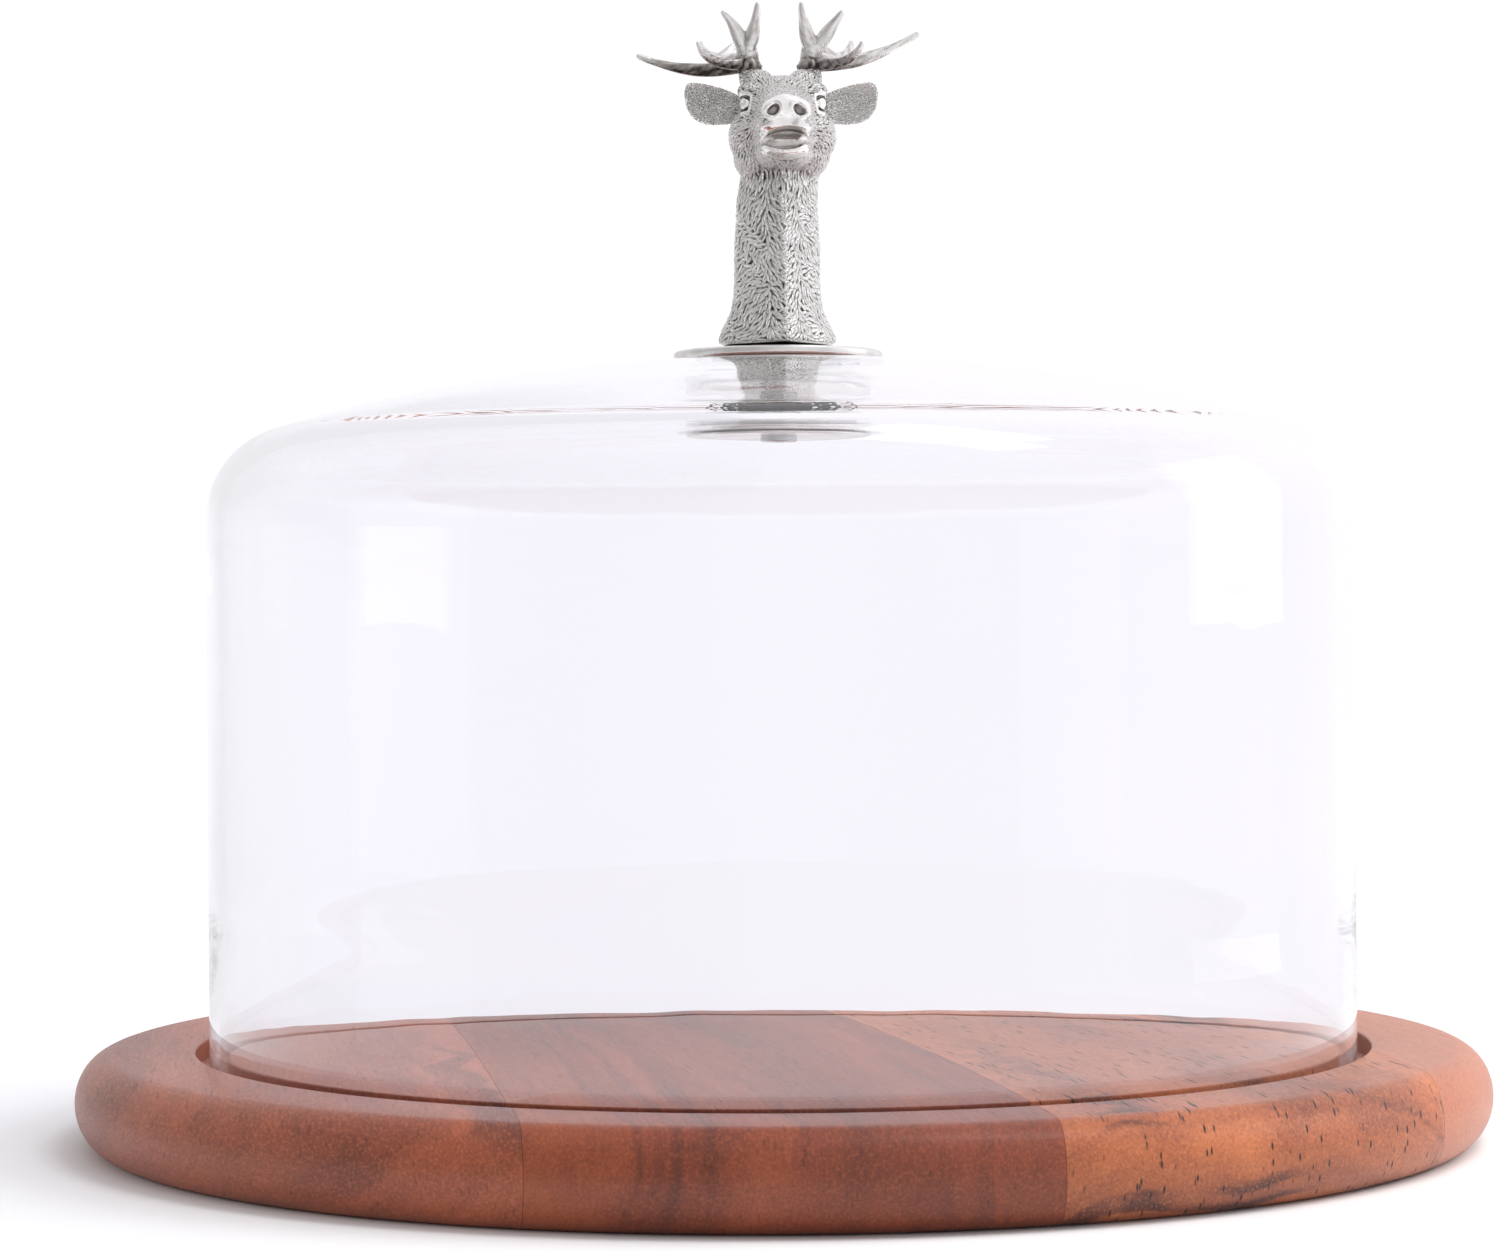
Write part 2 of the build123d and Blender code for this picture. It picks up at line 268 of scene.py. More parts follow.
# --------------------------------------------------------------------------------------- mesh tools
class Bench:
    """Modelling moves that several pieces share. A profile lists (distance from the axis, height)."""

    @staticmethod
    def deselect() -> None:
        """Leaves edit mode and deselects every object."""
        if bpy.context.object and bpy.context.object.mode != "OBJECT":
            bpy.ops.object.mode_set(mode="OBJECT")
        bpy.ops.object.select_all(action="DESELECT")

    @staticmethod
    def pick(piece: bpy.types.Object) -> None:
        """Makes one object the only selected and the active one.

        Args:
            piece: the object.
        """
        Bench.deselect()
        piece.select_set(True)
        bpy.context.view_layer.objects.active = piece

    @staticmethod
    def edit(piece: bpy.types.Object) -> None:
        """Opens an object in edit mode with all of its mesh selected.

        Args:
            piece: the object.
        """
        Bench.pick(piece)
        bpy.ops.object.mode_set(mode="EDIT")
        bpy.ops.mesh.select_all(action="SELECT")

    @staticmethod
    def settle(piece: bpy.types.Object, name: str, smooth_angle: float = 40.0) -> bpy.types.Object:
        """Brings a finished mesh's object to the origin, unturned, and smooths its shading.

        Args:
            piece: the object.
            name: its final name.
            smooth_angle: edges sharper than this many degrees stay sharp.

        Returns:
            The same object.
        """
        Bench.pick(piece)
        bpy.ops.object.transform_apply(location=True, rotation=True, scale=True)
        bpy.ops.object.shade_smooth_by_angle(angle=math.radians(smooth_angle))
        piece.name = name
        piece.data.name = name
        return piece

    @staticmethod
    def modify(piece: bpy.types.Object, kind: str, **settings: object) -> None:
        """Adds a modifier and applies it.

        Args:
            piece: the object.
            kind: the modifier's type.
            settings: its properties.
        """
        Bench.pick(piece)
        modifier = piece.modifiers.new(kind, kind)
        for name, value in settings.items():
            setattr(modifier, name, value)
        bpy.ops.object.modifier_apply(modifier=modifier.name)

    @staticmethod
    def join(pieces: Sequence[bpy.types.Object]) -> bpy.types.Object:
        """Joins objects into the first of them.

        Args:
            pieces: the objects.

        Returns:
            The joined object.
        """
        Bench.pick(pieces[0])
        for piece in pieces:
            piece.select_set(True)
        bpy.ops.object.join()
        return pieces[0]

    @staticmethod
    def arc(centre: Spot, radius: float, start: float, end: float, steps: int) -> list[Spot]:
        """Gives an arc's points for a profile, between two angles in degrees from the outward direction."""
        angles = [math.radians(start + (end - start) * step / steps) for step in range(steps + 1)]
        return [(centre[0] + radius * math.cos(a), centre[1] + radius * math.sin(a)) for a in angles]

    @staticmethod
    def lathe(name: str, profile: Sequence[Spot], steps: int) -> bpy.types.Object:
        """Turns a profile about the Z axis, as on a lathe.

        Args:
            name: the piece's name.
            profile: its points in metres; a closed profile repeats its first point at the end.
            steps: spans round the turn.

        Returns:
            The turned piece.
        """
        Bench.deselect()
        first = profile[0]
        bpy.ops.mesh.primitive_plane_add(size=MM, location=(first[0], 0, first[1]))
        piece = bpy.context.object
        Bench.edit(piece)
        bpy.ops.mesh.merge(type="CENTER")
        for here, there in zip(profile, profile[1:]):
            move = (there[0] - here[0], 0, there[1] - here[1])
            bpy.ops.mesh.extrude_region_move(TRANSFORM_OT_translate={"value": move})
        bpy.ops.mesh.select_all(action="SELECT")
        bpy.ops.mesh.spin(steps=steps, angle=math.tau, center=(0, 0, 0), axis=(0, 0, 1))
        bpy.ops.mesh.select_all(action="SELECT")
        bpy.ops.mesh.remove_doubles(threshold=WELD)
        bpy.ops.mesh.normals_make_consistent(inside=False)
        return Bench.settle(piece, name)


def dress(piece: bpy.types.Object, material: bpy.types.Material) -> None:
    """Gives a piece one material all over."""
    piece.data.materials.clear()
    piece.data.materials.append(material)


def smooth_step(value: np.ndarray, low: float, high: float) -> np.ndarray:
    """Gives a soft step from 0 at low to 1 at high; low may be above high, for a falling step."""
    share = np.clip((value - low) / (high - low), 0.0, 1.0)
    return share * share * (3.0 - 2.0 * share)


def fade(value: np.ndarray, low: float, high: float) -> np.ndarray:
    """Gives a soft step down, from 1 at low to 0 at high."""
    return 1 - smooth_step(value, low, high)


def bell(value: np.ndarray, middle: float | np.ndarray, width: float) -> np.ndarray:
    """Gives a soft hump: 1 in its middle, about a third at one width from it, and 0 far away."""
    return np.exp(-((value - middle) / width) ** 2)


def unit(vectors: np.ndarray) -> np.ndarray:
    """Gives vectors the length 1."""
    return vectors / np.maximum(np.linalg.norm(vectors, axis=1, keepdims=True), 1e-9)


def swell(points: np.ndarray, normals: np.ndarray, height: np.ndarray) -> None:
    """Moves points in place along their outward directions, each by its own height."""
    points += normals * height[:, None]


# ----------------------------------------------------------------------------------------- finishes
def shade(red: float, green: float, blue: float) -> Colour:
    """Turns a colour as a screen shows it, 0 to 255, into the numbers a shader wants (the sRGB curve)."""
    return tuple(((c / 255 + 0.055) / 1.055) ** 2.4 if c > 10 else c / 3294 for c in (red, green, blue))


class Cut(Enum):
    """How a stave was sawn from the log, which decides how its rings lie."""

    QUARTER = "rings stand upright"
    FLAT = "rings lie level"
    RIFT = "rings slant"


@dataclass(frozen=True)
class StaveWood:
    """Oiled acacia: bands about a pith outside the stave, drawn out along its length, with open pores.

    The scales are patterns' frequencies per metre, across the grain.
    """

    name: str
    cut: Cut
    dark: Colour
    middle: Colour
    light: Colour
    seed: float
    band_gap: float = 0.022
    band_strength: float = 0.5
    pore_strength: float = 0.4
    vein_strength: float = 1.0
    turn: float = -8.0
    line_scale: float = 330
    cloud_scale: float = 34
    fibre_scale: float = 1300
    grain_scale: float = 1500
    pore_scale: float = 760
    pore_field_scale: float = 75
    relief_depth: float = 0.00006
    sideways_waver: float = 0.018
    upward_waver: float = 0.030

    def pith(self) -> Spot:
        """Gives the pith's place across and above the board's middle."""
        places = {Cut.QUARTER: (0.26, -0.02), Cut.FLAT: (0.075, -0.085), Cut.RIFT: (0.10, -0.20)}
        return places[self.cut]

    def make(self) -> bpy.types.Material:
        """Makes the material.

        Returns:
            The material.
        """
        paint = Paint(self.name)
        shift = (self.seed, self.seed * 0.7, 0)
        along = paint.place((1, 0.12, 1), self.turn, shift)
        straight = paint.place((1, 0.03, 1), self.turn, shift)
        even = paint.place((1, 1, 1), self.turn, shift)
        across, down_grain, up = paint.axes(paint.place((1, 1, 1), self.turn))
        pith_across, pith_up = self.pith()
        off_across = across - pith_across + (paint.noise(along, 22, 2) - 0.5) * self.sideways_waver
        off_up = up - pith_up + (paint.noise(even, 16, 2) - 0.5) * self.upward_waver
        distance = (off_across * off_across + off_up * off_up).root()
        rings = paint.vector(distance, down_grain * 0.03, self.seed)
        band = paint.noise(rings, 1 / self.band_gap, 2, 0.45)
        line = paint.noise(rings, self.line_scale, 2, 0.5)
        cloud = paint.noise(along, self.cloud_scale, 3, 0.6)
        fibre = paint.noise(straight, self.fibre_scale, 2, 0.6)
        grain = paint.noise(paint.place((1, 0.25, 1), self.turn, shift), self.grain_scale, 2, 0.5)
        vein_path = band - 0.5
        vein = 1 - (vein_path * vein_path).root().over(0.008, 0.040)
        vein = vein * paint.noise(along, 15, 2).over(0.47, 0.60)
        wide = 1 - band.over(0.30, 0.48)
        tone = cloud * 0.50 + line * 0.14 + band * 0.24 + 0.06
        tone = tone - wide * self.band_strength * 0.16 - vein * self.vein_strength * 0.22
        colour = paint.ramp(tone, [(0.26, self.dark), (0.51, self.middle), (0.76, self.light)])
        fleck = grain.over(0.46, 0.74)
        colour = paint.mix(fleck * 0.22, colour, tuple(min(1.0, c * 1.35 + 0.01) for c in self.light))
        colour = paint.mix((1 - grain.over(0.26, 0.48)) * 0.26, colour, tuple(c * 0.5 for c in self.dark))
        slots = paint.cells(paint.place((1, 0.05, 0.30), self.turn, shift), self.pore_scale)
        pores = 1 - slots.over(0.13, 0.28)
        field = paint.noise(paint.place((1, 0.5, 1), self.turn, shift), self.pore_field_scale, 2)
        pore = pores * field.over(0.42, 0.52) * self.pore_strength
        colour = paint.mix(pore, colour, tuple(c * 0.15 for c in self.dark))
        paint.set(Base_Color=colour, Roughness=fibre * 0.10 + 0.38 + pore * 0.1)
        paint.set(Specular_IOR_Level=0.45, Coat_Weight=0.15, Coat_Roughness=0.22)
        paint.bump(fibre * 0.25 + grain * 0.25 - pore, self.relief_depth, 0.35)
        return paint.material


@dataclass(frozen=True)
class ClearGlass:
    """Blown clear glass, a little lavender, with a faint waviness from the mould."""

    name: str = "clear_glass_blown"
    tint: Colour = (0.985, 0.983, 1.0)
    shadow: Colour = (0.93, 0.93, 0.95)
    ior: float = 1.5
    wave_depth: float = 0.00035

    def make(self) -> bpy.types.Material:
        """Makes the material; shadows pass through it as light grey.

        Returns:
            The material.
        """
        paint = Paint(self.name)
        paint.set(Base_Color=self.tint, Transmission_Weight=1.0, IOR=self.ior)
        wave = paint.noise(paint.place((1, 1, 0.45)), 22, 2)
        streak = paint.noise(paint.place((1, 1, 3.5)), 34, 1)
        haze = paint.noise(paint.place(), 300, 3)
        paint.set(Roughness=haze * 0.012)
        paint.bump(wave * 0.7 + streak * 0.3, self.wave_depth, 0.5)
        clear = paint.node("ShaderNodeBsdfTransparent", {}, {"Color": self.shadow}).outputs[0]
        is_shadow = paint.node("ShaderNodeLightPath").outputs["Is Shadow Ray"]
        both = paint.node("ShaderNodeMixShader", {}, {0: is_shadow, 1: paint.shader.outputs[0], 2: clear})
        paint.feed(paint.output.inputs["Surface"], both.outputs[0])
        return paint.material


@dataclass(frozen=True)
class Silicone:
    """Translucent silicone of the gaskets and the bush."""

    name: str = "clear_silicone"
    ior: float = 1.41
    grain_depth: float = 0.00003

    def make(self) -> bpy.types.Material:
        """Makes the material.

        Returns:
            The material.
        """
        paint = Paint(self.name)
        grain = paint.noise(paint.place(), 1400, 2)
        colour = paint.mix(grain, (0.80, 0.81, 0.82), (0.90, 0.90, 0.91))
        paint.set(Base_Color=colour, Roughness=grain * 0.1 + 0.35, Transmission_Weight=0.6, IOR=self.ior)
        paint.bump(grain, self.grain_depth, 0.4)
        return paint.material


@dataclass(frozen=True)
class TurnedMetal:
    """Metal turned on a lathe: fine rings about the axis, and dull patches from handling."""

    name: str
    light: Colour
    dark: Colour
    rough: float
    ring_depth: float = 0.000012

    def make(self) -> bpy.types.Material:
        """Makes the material.

        Returns:
            The material.
        """
        paint = Paint(self.name)
        x, y, z = paint.axes(paint.place())
        radius = (x * x + y * y).root()
        rings = paint.noise(paint.vector(radius, 0.0, z), 5200, 2)
        cloud = paint.noise(paint.place(), 110, 3)
        colour = paint.mix(cloud.over(0.42, 0.70) * 0.6 + rings * 0.25, self.light, self.dark)
        paint.set(Base_Color=colour, Metallic=1.0, Roughness=cloud * 0.14 + self.rough + rings * 0.04)
        paint.bump(rings, self.ring_depth, 0.5)
        return paint.material


@dataclass(frozen=True)
class CastPewter:
    """Cast pewter, darkened in its hollows and rubbed bright on its high places; the relief it reads also
    carries painted shade under the jaw, at the foot of the neck and in the ear cups.
    """

    name: str
    strand_depth: float = 0.00011
    strand_strength: float = 1.0
    strand_turn: float = 6.2832

    def make(self) -> bpy.types.Material:
        """Makes the material; the mesh carries how high each place of the relief stands.

        Returns:
            The material.
        """
        paint = Paint(self.name)
        relief = paint.attribute("relief")
        strand = paint.attribute("strand")
        furry = paint.attribute("furry")
        fine = paint.noise(paint.place(), 1500, 3, 0.6)
        cloud = paint.noise(paint.place(), 130, 3)
        wave = (strand * self.strand_turn + fine * 1.2).sine() * 0.5 + 0.5
        hair = wave * furry
        height = relief * 0.78 + hair * 0.20 + fine * 0.07 - cloud * 0.08
        colour = paint.ramp(height, [(0.13, (0.050, 0.042, 0.036)), (0.27, (0.40, 0.375, 0.355)),
                                     (0.42, (0.90, 0.88, 0.86)), (0.58, (0.99, 0.98, 0.96))])
        rough = furry * 0.09 + 0.26 - relief.over(0.25, 0.9) * 0.14 + fine * 0.08
        paint.set(Base_Color=colour, Metallic=1.0, Roughness=rough)
        paint.bump(hair + fine * 0.15, self.strand_depth, self.strand_strength)
        return paint.material


# -------------------------------------------------------------------------------------------- board
@dataclass
class Board:
    """The round base: a turned disc with a rounded rim and a groove for the glass, cut into four staves."""

    radius: float = 0.17797
    thickness: float = 0.023
    rim_round: float = 0.0095
    groove_outer: float = 0.1482
    groove_inner: float = 0.1399
    groove_depth: float = 0.005
    edge_break: float = 0.0005
    turn: float = 8.0
    joints: tuple[float, ...] = (-0.078, 0.036, 0.1385)
    glue_gap: float = 0.00004
    round_steps: int = 288
    rim_steps: int = 30
    underside_stops: tuple[float, ...] = (0.0, 0.06, 0.12)
    top_stops: tuple[float, ...] = (0.11, 0.07, 0.03, 0.0)

    def profile(self) -> list[Spot]:
        """Gives the disc's section, from the middle of its underside to the middle of its top.

        Returns:
            The points.
        """
        top = self.thickness
        ring = self.rim_round
        floor = top - self.groove_depth
        ease = self.edge_break
        points = [(stop, 0.0) for stop in self.underside_stops]
        half = top / 2
        for step in range(self.rim_steps + 1):
            angle = math.radians(180 * step / self.rim_steps - 90)
            points.append((self.radius - ring + ring * math.cos(angle), half + half * math.sin(angle)))
        points += Bench.arc((self.groove_outer + ease, top - ease), ease, 90, 180, 3)
        points += Bench.arc((self.groove_outer - ease, floor + ease), ease, 0, -90, 2)
        points += Bench.arc((self.groove_inner + ease, floor + ease), ease, -90, -180, 2)
        points += Bench.arc((self.groove_inner - ease, top - ease), ease, 0, 90, 3)
        return points + [(stop, top) for stop in self.top_stops]

    def cut_stave(self, disc: bpy.types.Object, name: str, low: float, high: float) -> bpy.types.Object:
        """Cuts one stave out of a copy of the disc.

        Args:
            disc: the whole disc.
            name: the stave's name.
            low: its edge across the staves.
            high: its other edge.

        Returns:
            The stave.
        """
        Bench.pick(disc)
        bpy.ops.object.duplicate()
        stave = bpy.context.object
        turn = math.radians(self.turn)
        across = Vector((math.cos(turn), math.sin(turn), 0))
        for edge, keep_high in ((low + self.glue_gap, True), (high - self.glue_gap, False)):
            if abs(edge) > self.radius:
                continue
            Bench.edit(stave)
            bpy.ops.mesh.bisect(plane_co=across * edge, plane_no=across, use_fill=True,
                                clear_inner=keep_high, clear_outer=not keep_high, threshold=1e-7)
        Bench.edit(stave)
        bpy.ops.mesh.normals_make_consistent(inside=False)
        return Bench.settle(stave, name, smooth_angle=50)

    def build(self, woods: Sequence[StaveWood]) -> list[bpy.types.Object]:
        """Builds and dresses the staves.

        Args:
            woods: the wood of each stave, from the left.

        Returns:
            The staves.
        """
        disc = Bench.lathe("board_disc", self.profile(), self.round_steps)
        names = ("board_stave_left", "board_stave_mid_left", "board_stave_mid_right", "board_stave_right")
        beyond = self.radius * 1.1
        edges = (-beyond, *self.joints, beyond)
        staves = []
        for name, low, high, wood in zip(names, edges, edges[1:], woods):
            stave = self.cut_stave(disc, "oiled_" + name, low, high)
            dress(stave, wood.make())
            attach(stave, "board")
            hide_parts(name)
            staves.append(stave)
        bpy.data.objects.remove(disc)
        return staves


# -------------------------------------------------------------------------------------- glass cover
@dataclass
class GlassCover:
    """The blown cover: straight wall, tight shoulder and a low crown with a hole for the knob's screw."""

    radius: float = 0.1448
    rim: float = 0.018
    height: float = 0.1785
    wall: float = 0.0044
    lip: float = 0.0026
    lip_length: float = 0.036
    lip_blend: float = 0.009
    crown_radius: float = 0.460
    shoulder: float = 0.023
    hole_radius: float = 0.006
    edge_round: float = 0.0011
    round_steps: int = 256
    crown_steps: int = 34
    shoulder_steps: int = 20
    wall_steps: int = 24
    inner_steps: int = 18
    thinning_steps: int = 5
    lip_steps: int = 12

    def crown_arc(self, radius: float, start: float, end: float, steps: int) -> list[Spot]:
        """Gives points on the crown between two distances from the axis.

        Args:
            radius: the crown's radius, outside or inside.
            start: first distance.
            end: last distance.
            steps: spans.

        Returns:
            The points.
        """
        base = self.rim + self.height - self.crown_radius
        reach = [start + (end - start) * step / steps for step in range(steps + 1)]
        return [(r, base + math.sqrt(radius * radius - r * r)) for r in reach]

    def inner_wall(self) -> list[Spot]:
        """Gives the inside of the wall from its top down to the lip, thinning as it goes.

        Returns:
            The points.
        """
        lip_x, wall_x = self.radius - self.lip, self.radius - self.wall
        top = self.rim + self.lip_length + self.lip_blend
        share = self.lip_length / (self.lip_length + self.lip_blend)
        turn = (lip_x + (wall_x - lip_x) * share, self.rim + self.lip_length)
        points = []
        for step in range(self.thinning_steps + 1):
            s = step / self.thinning_steps
            points.append((wall_x + (turn[0] - wall_x) * s * s, top + (turn[1] - top) * s))
        for step in range(1, self.lip_steps + 1):
            s = 1 - step / self.lip_steps
            points.append((lip_x + (turn[0] - lip_x) * s * s, self.rim + (turn[1] - self.rim) * s))
        return points

    def profile(self) -> list[Spot]:
        """Gives the cover's closed section, from the hole's upper edge outward and back inside.

        Returns:
            The points.
        """
        shoulder_x = self.radius - self.shoulder
        base = self.rim + self.height - self.crown_radius
        shoulder_z = base + math.sqrt((self.crown_radius - self.shoulder) ** 2 - shoulder_x ** 2)
        turn = math.degrees(math.atan2(shoulder_z - base, shoulder_x))
        centre = (shoulder_x, shoulder_z)
        outer_edge = self.crown_radius * math.cos(math.radians(turn))
        inner_radius = self.crown_radius - self.wall
        inner_edge = inner_radius * math.cos(math.radians(turn))
        ease = self.edge_round
        lip_top = self.rim + ease
        wall_fall = shoulder_z - self.rim - ease
        points = self.crown_arc(self.crown_radius, self.hole_radius, outer_edge, self.crown_steps)[:-1]
        points += Bench.arc(centre, self.shoulder, turn, 0, self.shoulder_steps)
        points += [(self.radius, shoulder_z - wall_fall * s / self.wall_steps)
                   for s in range(1, self.wall_steps)]
        points += Bench.arc((self.radius - ease, lip_top), ease, 0, -90, 5)
        points += Bench.arc((self.radius - self.lip + ease, lip_top), ease, -90, -180, 5)
        points += [p for p in reversed(self.inner_wall()[:-1]) if p[1] > self.rim + ease * 1.2]
        wall_x = self.radius - self.wall
        low = self.rim + self.lip_length + self.lip_blend
        rise = shoulder_z - low
        points += [(wall_x, low + rise * s / self.inner_steps) for s in range(1, self.inner_steps)]
        points += Bench.arc(centre, self.shoulder - self.wall, 0, turn, self.inner_steps)
        points += self.crown_arc(inner_radius, inner_edge, self.hole_radius, self.crown_steps)[1:]
        return points + points[:1]

    def build(self, glass: ClearGlass) -> bpy.types.Object:
        """Builds and dresses the cover.

        Args:
            glass: its finish.

        Returns:
            The cover.
        """
        cover = Bench.lathe("blown_glass_cover", self.profile(), self.round_steps)
        dress(cover, glass.make())
        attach(cover, "lid")
        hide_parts("glass_dome")
        return cover


# -------------------------------------------------------------------------------------- knob fixing
class KnobFixing:
    """The turned plates, gaskets, bush, screw, washer and insert that hold the knob on the glass."""

    def build(self) -> list[bpy.types.Object]:
        """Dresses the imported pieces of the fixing.

        Returns:
            The pieces.
        """
        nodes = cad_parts
        silicone = Silicone().make()
        polished, zinc, brass = (TurnedMetal(*finish).make() for finish in (
            ("polished_pewter_turned", (0.88, 0.87, 0.85), (0.66, 0.65, 0.63), 0.20),
            ("zinc_plated_steel", (0.72, 0.73, 0.74), (0.50, 0.51, 0.53), 0.26, 0.00002),
            ("turned_brass", (0.80, 0.60, 0.28), (0.58, 0.40, 0.17), 0.28, 0.00003)))
        finishes = {"glass_bush": silicone, "upper_gasket": silicone, "lower_gasket": silicone,
                    "flange_plate": polished, "clamp_plate": polished, "lock_washer": zinc,
                    "knob_screw": zinc, "knob_insert": brass}
        for name, material in finishes.items():
            dress(nodes[name], material)
        return [nodes[name] for name in finishes]


# -------------------------------------------------------------------------------------- stag's knob
class Clay:
    """A dense closed mesh worked like clay, in millimetres, with heights above the knob's underside."""

    def __init__(self, base: float) -> None:
        """Starts with nothing modelled yet.

        Args:
            base: the knob's underside above the table, in metres.
        """
        self.base = base
        self.lumps: list[bpy.types.Object] = []
        self.piece: bpy.types.Object | None = None

    def ball(self, centre: Point, radii: Point, turn: Point = (0, 0, 0), mirrored: bool = False) -> None:
        """Adds an egg-shaped lump.

        Args:
            centre: its centre.
            radii: its radii.
            turn: degrees about X, Y and Z.
            mirrored: adds its mirror image too.
        """
        for side in ((1, -1) if mirrored else (1,)):
            Bench.deselect()
            place = (side * centre[0] * MM, centre[1] * MM, centre[2] * MM + self.base)
            angles = (math.radians(turn[0]), math.radians(side * turn[1]), math.radians(side * turn[2]))
            size = [r * MM for r in radii]
            bpy.ops.mesh.primitive_uv_sphere_add(segments=32, ring_count=20, radius=1, location=place,
                                                 rotation=angles, scale=size)
            self.lumps.append(bpy.context.object)

    def chain(self, start: Point, end: Point, first: Point, last: Point, count: int) -> None:
        """Adds a row of lumps that swell or shrink from one end to the other.

        Args:
            start: the first lump's centre.
            end: the last lump's centre.
            first: the first lump's radii.
            last: the last lump's radii.
            count: how many lumps.
        """
        for step in range(count):
            share = step / (count - 1)
            centre = [a + (b - a) * share for a, b in zip(start, end)]
            self.ball(centre, [a + (b - a) * share for a, b in zip(first, last)])

    def fuse(self, grain: float, passes: int) -> None:
        """Fuses the lumps and what is already made into one skin, then softens it.

        Args:
            grain: spacing of the new skin's points.
            passes: how often it is softened.
        """
        parts = ([self.piece] if self.piece else []) + self.lumps
        self.piece = Bench.join(parts)
        self.lumps = []
        Bench.pick(self.piece)
        bpy.ops.object.transform_apply(location=True, rotation=True, scale=True)
        Bench.modify(self.piece, "REMESH", mode="VOXEL", voxel_size=grain * MM, adaptivity=0.0)
        if passes:
            Bench.modify(self.piece, "SMOOTH", factor=0.5, iterations=passes)

    def read(self) -> tuple[np.ndarray, np.ndarray]:
        """Reads the skin.

        Returns:
            Its points and their outward directions.
        """
        mesh = self.piece.data
        points = np.empty(len(mesh.vertices) * 3)
        mesh.vertices.foreach_get("co", points)
        normals = np.empty(len(mesh.vertices) * 3)
        mesh.vertices.foreach_get("normal", normals)
        points = points.reshape(-1, 3)
        points[:, 2] -= self.base
        return points / MM, normals.reshape(-1, 3)

    def write(self, points: np.ndarray) -> None:
        """Moves the skin's points to new places.

        Args:
            points: the places.
        """
        placed = points * MM
        placed[:, 2] += self.base
        self.piece.data.vertices.foreach_set("co", placed.ravel())
        self.piece.data.update()

    def neighbours_mean(self, values: np.ndarray, passes: int) -> np.ndarray:
        """Averages values over neighbouring points, several times.

        Args:
            values: one row for each point.
            passes: how often.

        Returns:
            The averaged values.
        """
        mesh = self.piece.data
        edges = np.empty(len(mesh.edges) * 2, dtype=np.int64)
        mesh.edges.foreach_get("vertices", edges)
        first, second = edges[0::2], edges[1::2]
        count = np.bincount(edges, minlength=len(mesh.vertices)).astype(float)
        for _ in range(passes):
            columns = []
            for column in values.T:
                total = np.bincount(first, column[second], len(count))
                total = total + np.bincount(second, column[first], len(count))
                columns.append(total / np.maximum(count, 1))
            values = np.stack(columns, axis=1)
        return values

    def note(self, name: str, values: np.ndarray) -> None:
        """Writes a number for each point into the mesh, for its finish to read.

        Args:
            name: what the finish calls it.
            values: the numbers.
        """
        data = self.piece.data
        layer = data.attributes.get(name) or data.attributes.new(name, "FLOAT", "POINT")
        layer.data.foreach_set("value", values.astype(np.float32))


def ring_band(points: np.ndarray, centre: Point, facing: Point, radii: Spot) -> np.ndarray:
    """Measures how far points lie from the middle of an oval, in shares of its radii.

    Args:
        points: the points.
        centre: the oval's middle.
        facing: the way the oval faces.
        radii: its level and its upright radius.

    Returns:
        0 in the middle, 1 on the oval, more outside it and behind it.
    """
    forward = np.array(facing, dtype=float)
    forward /= np.linalg.norm(forward)
    level = np.cross(forward, (0, 0, 1))
    level /= np.linalg.norm(level)
    upright = np.cross(level, forward)
    offset = points - np.array(centre)
    share = np.hypot(offset @ level / radii[0], offset @ upright / radii[1])
    return share + np.where(offset @ forward < -3.0, 9.0, 0.0)


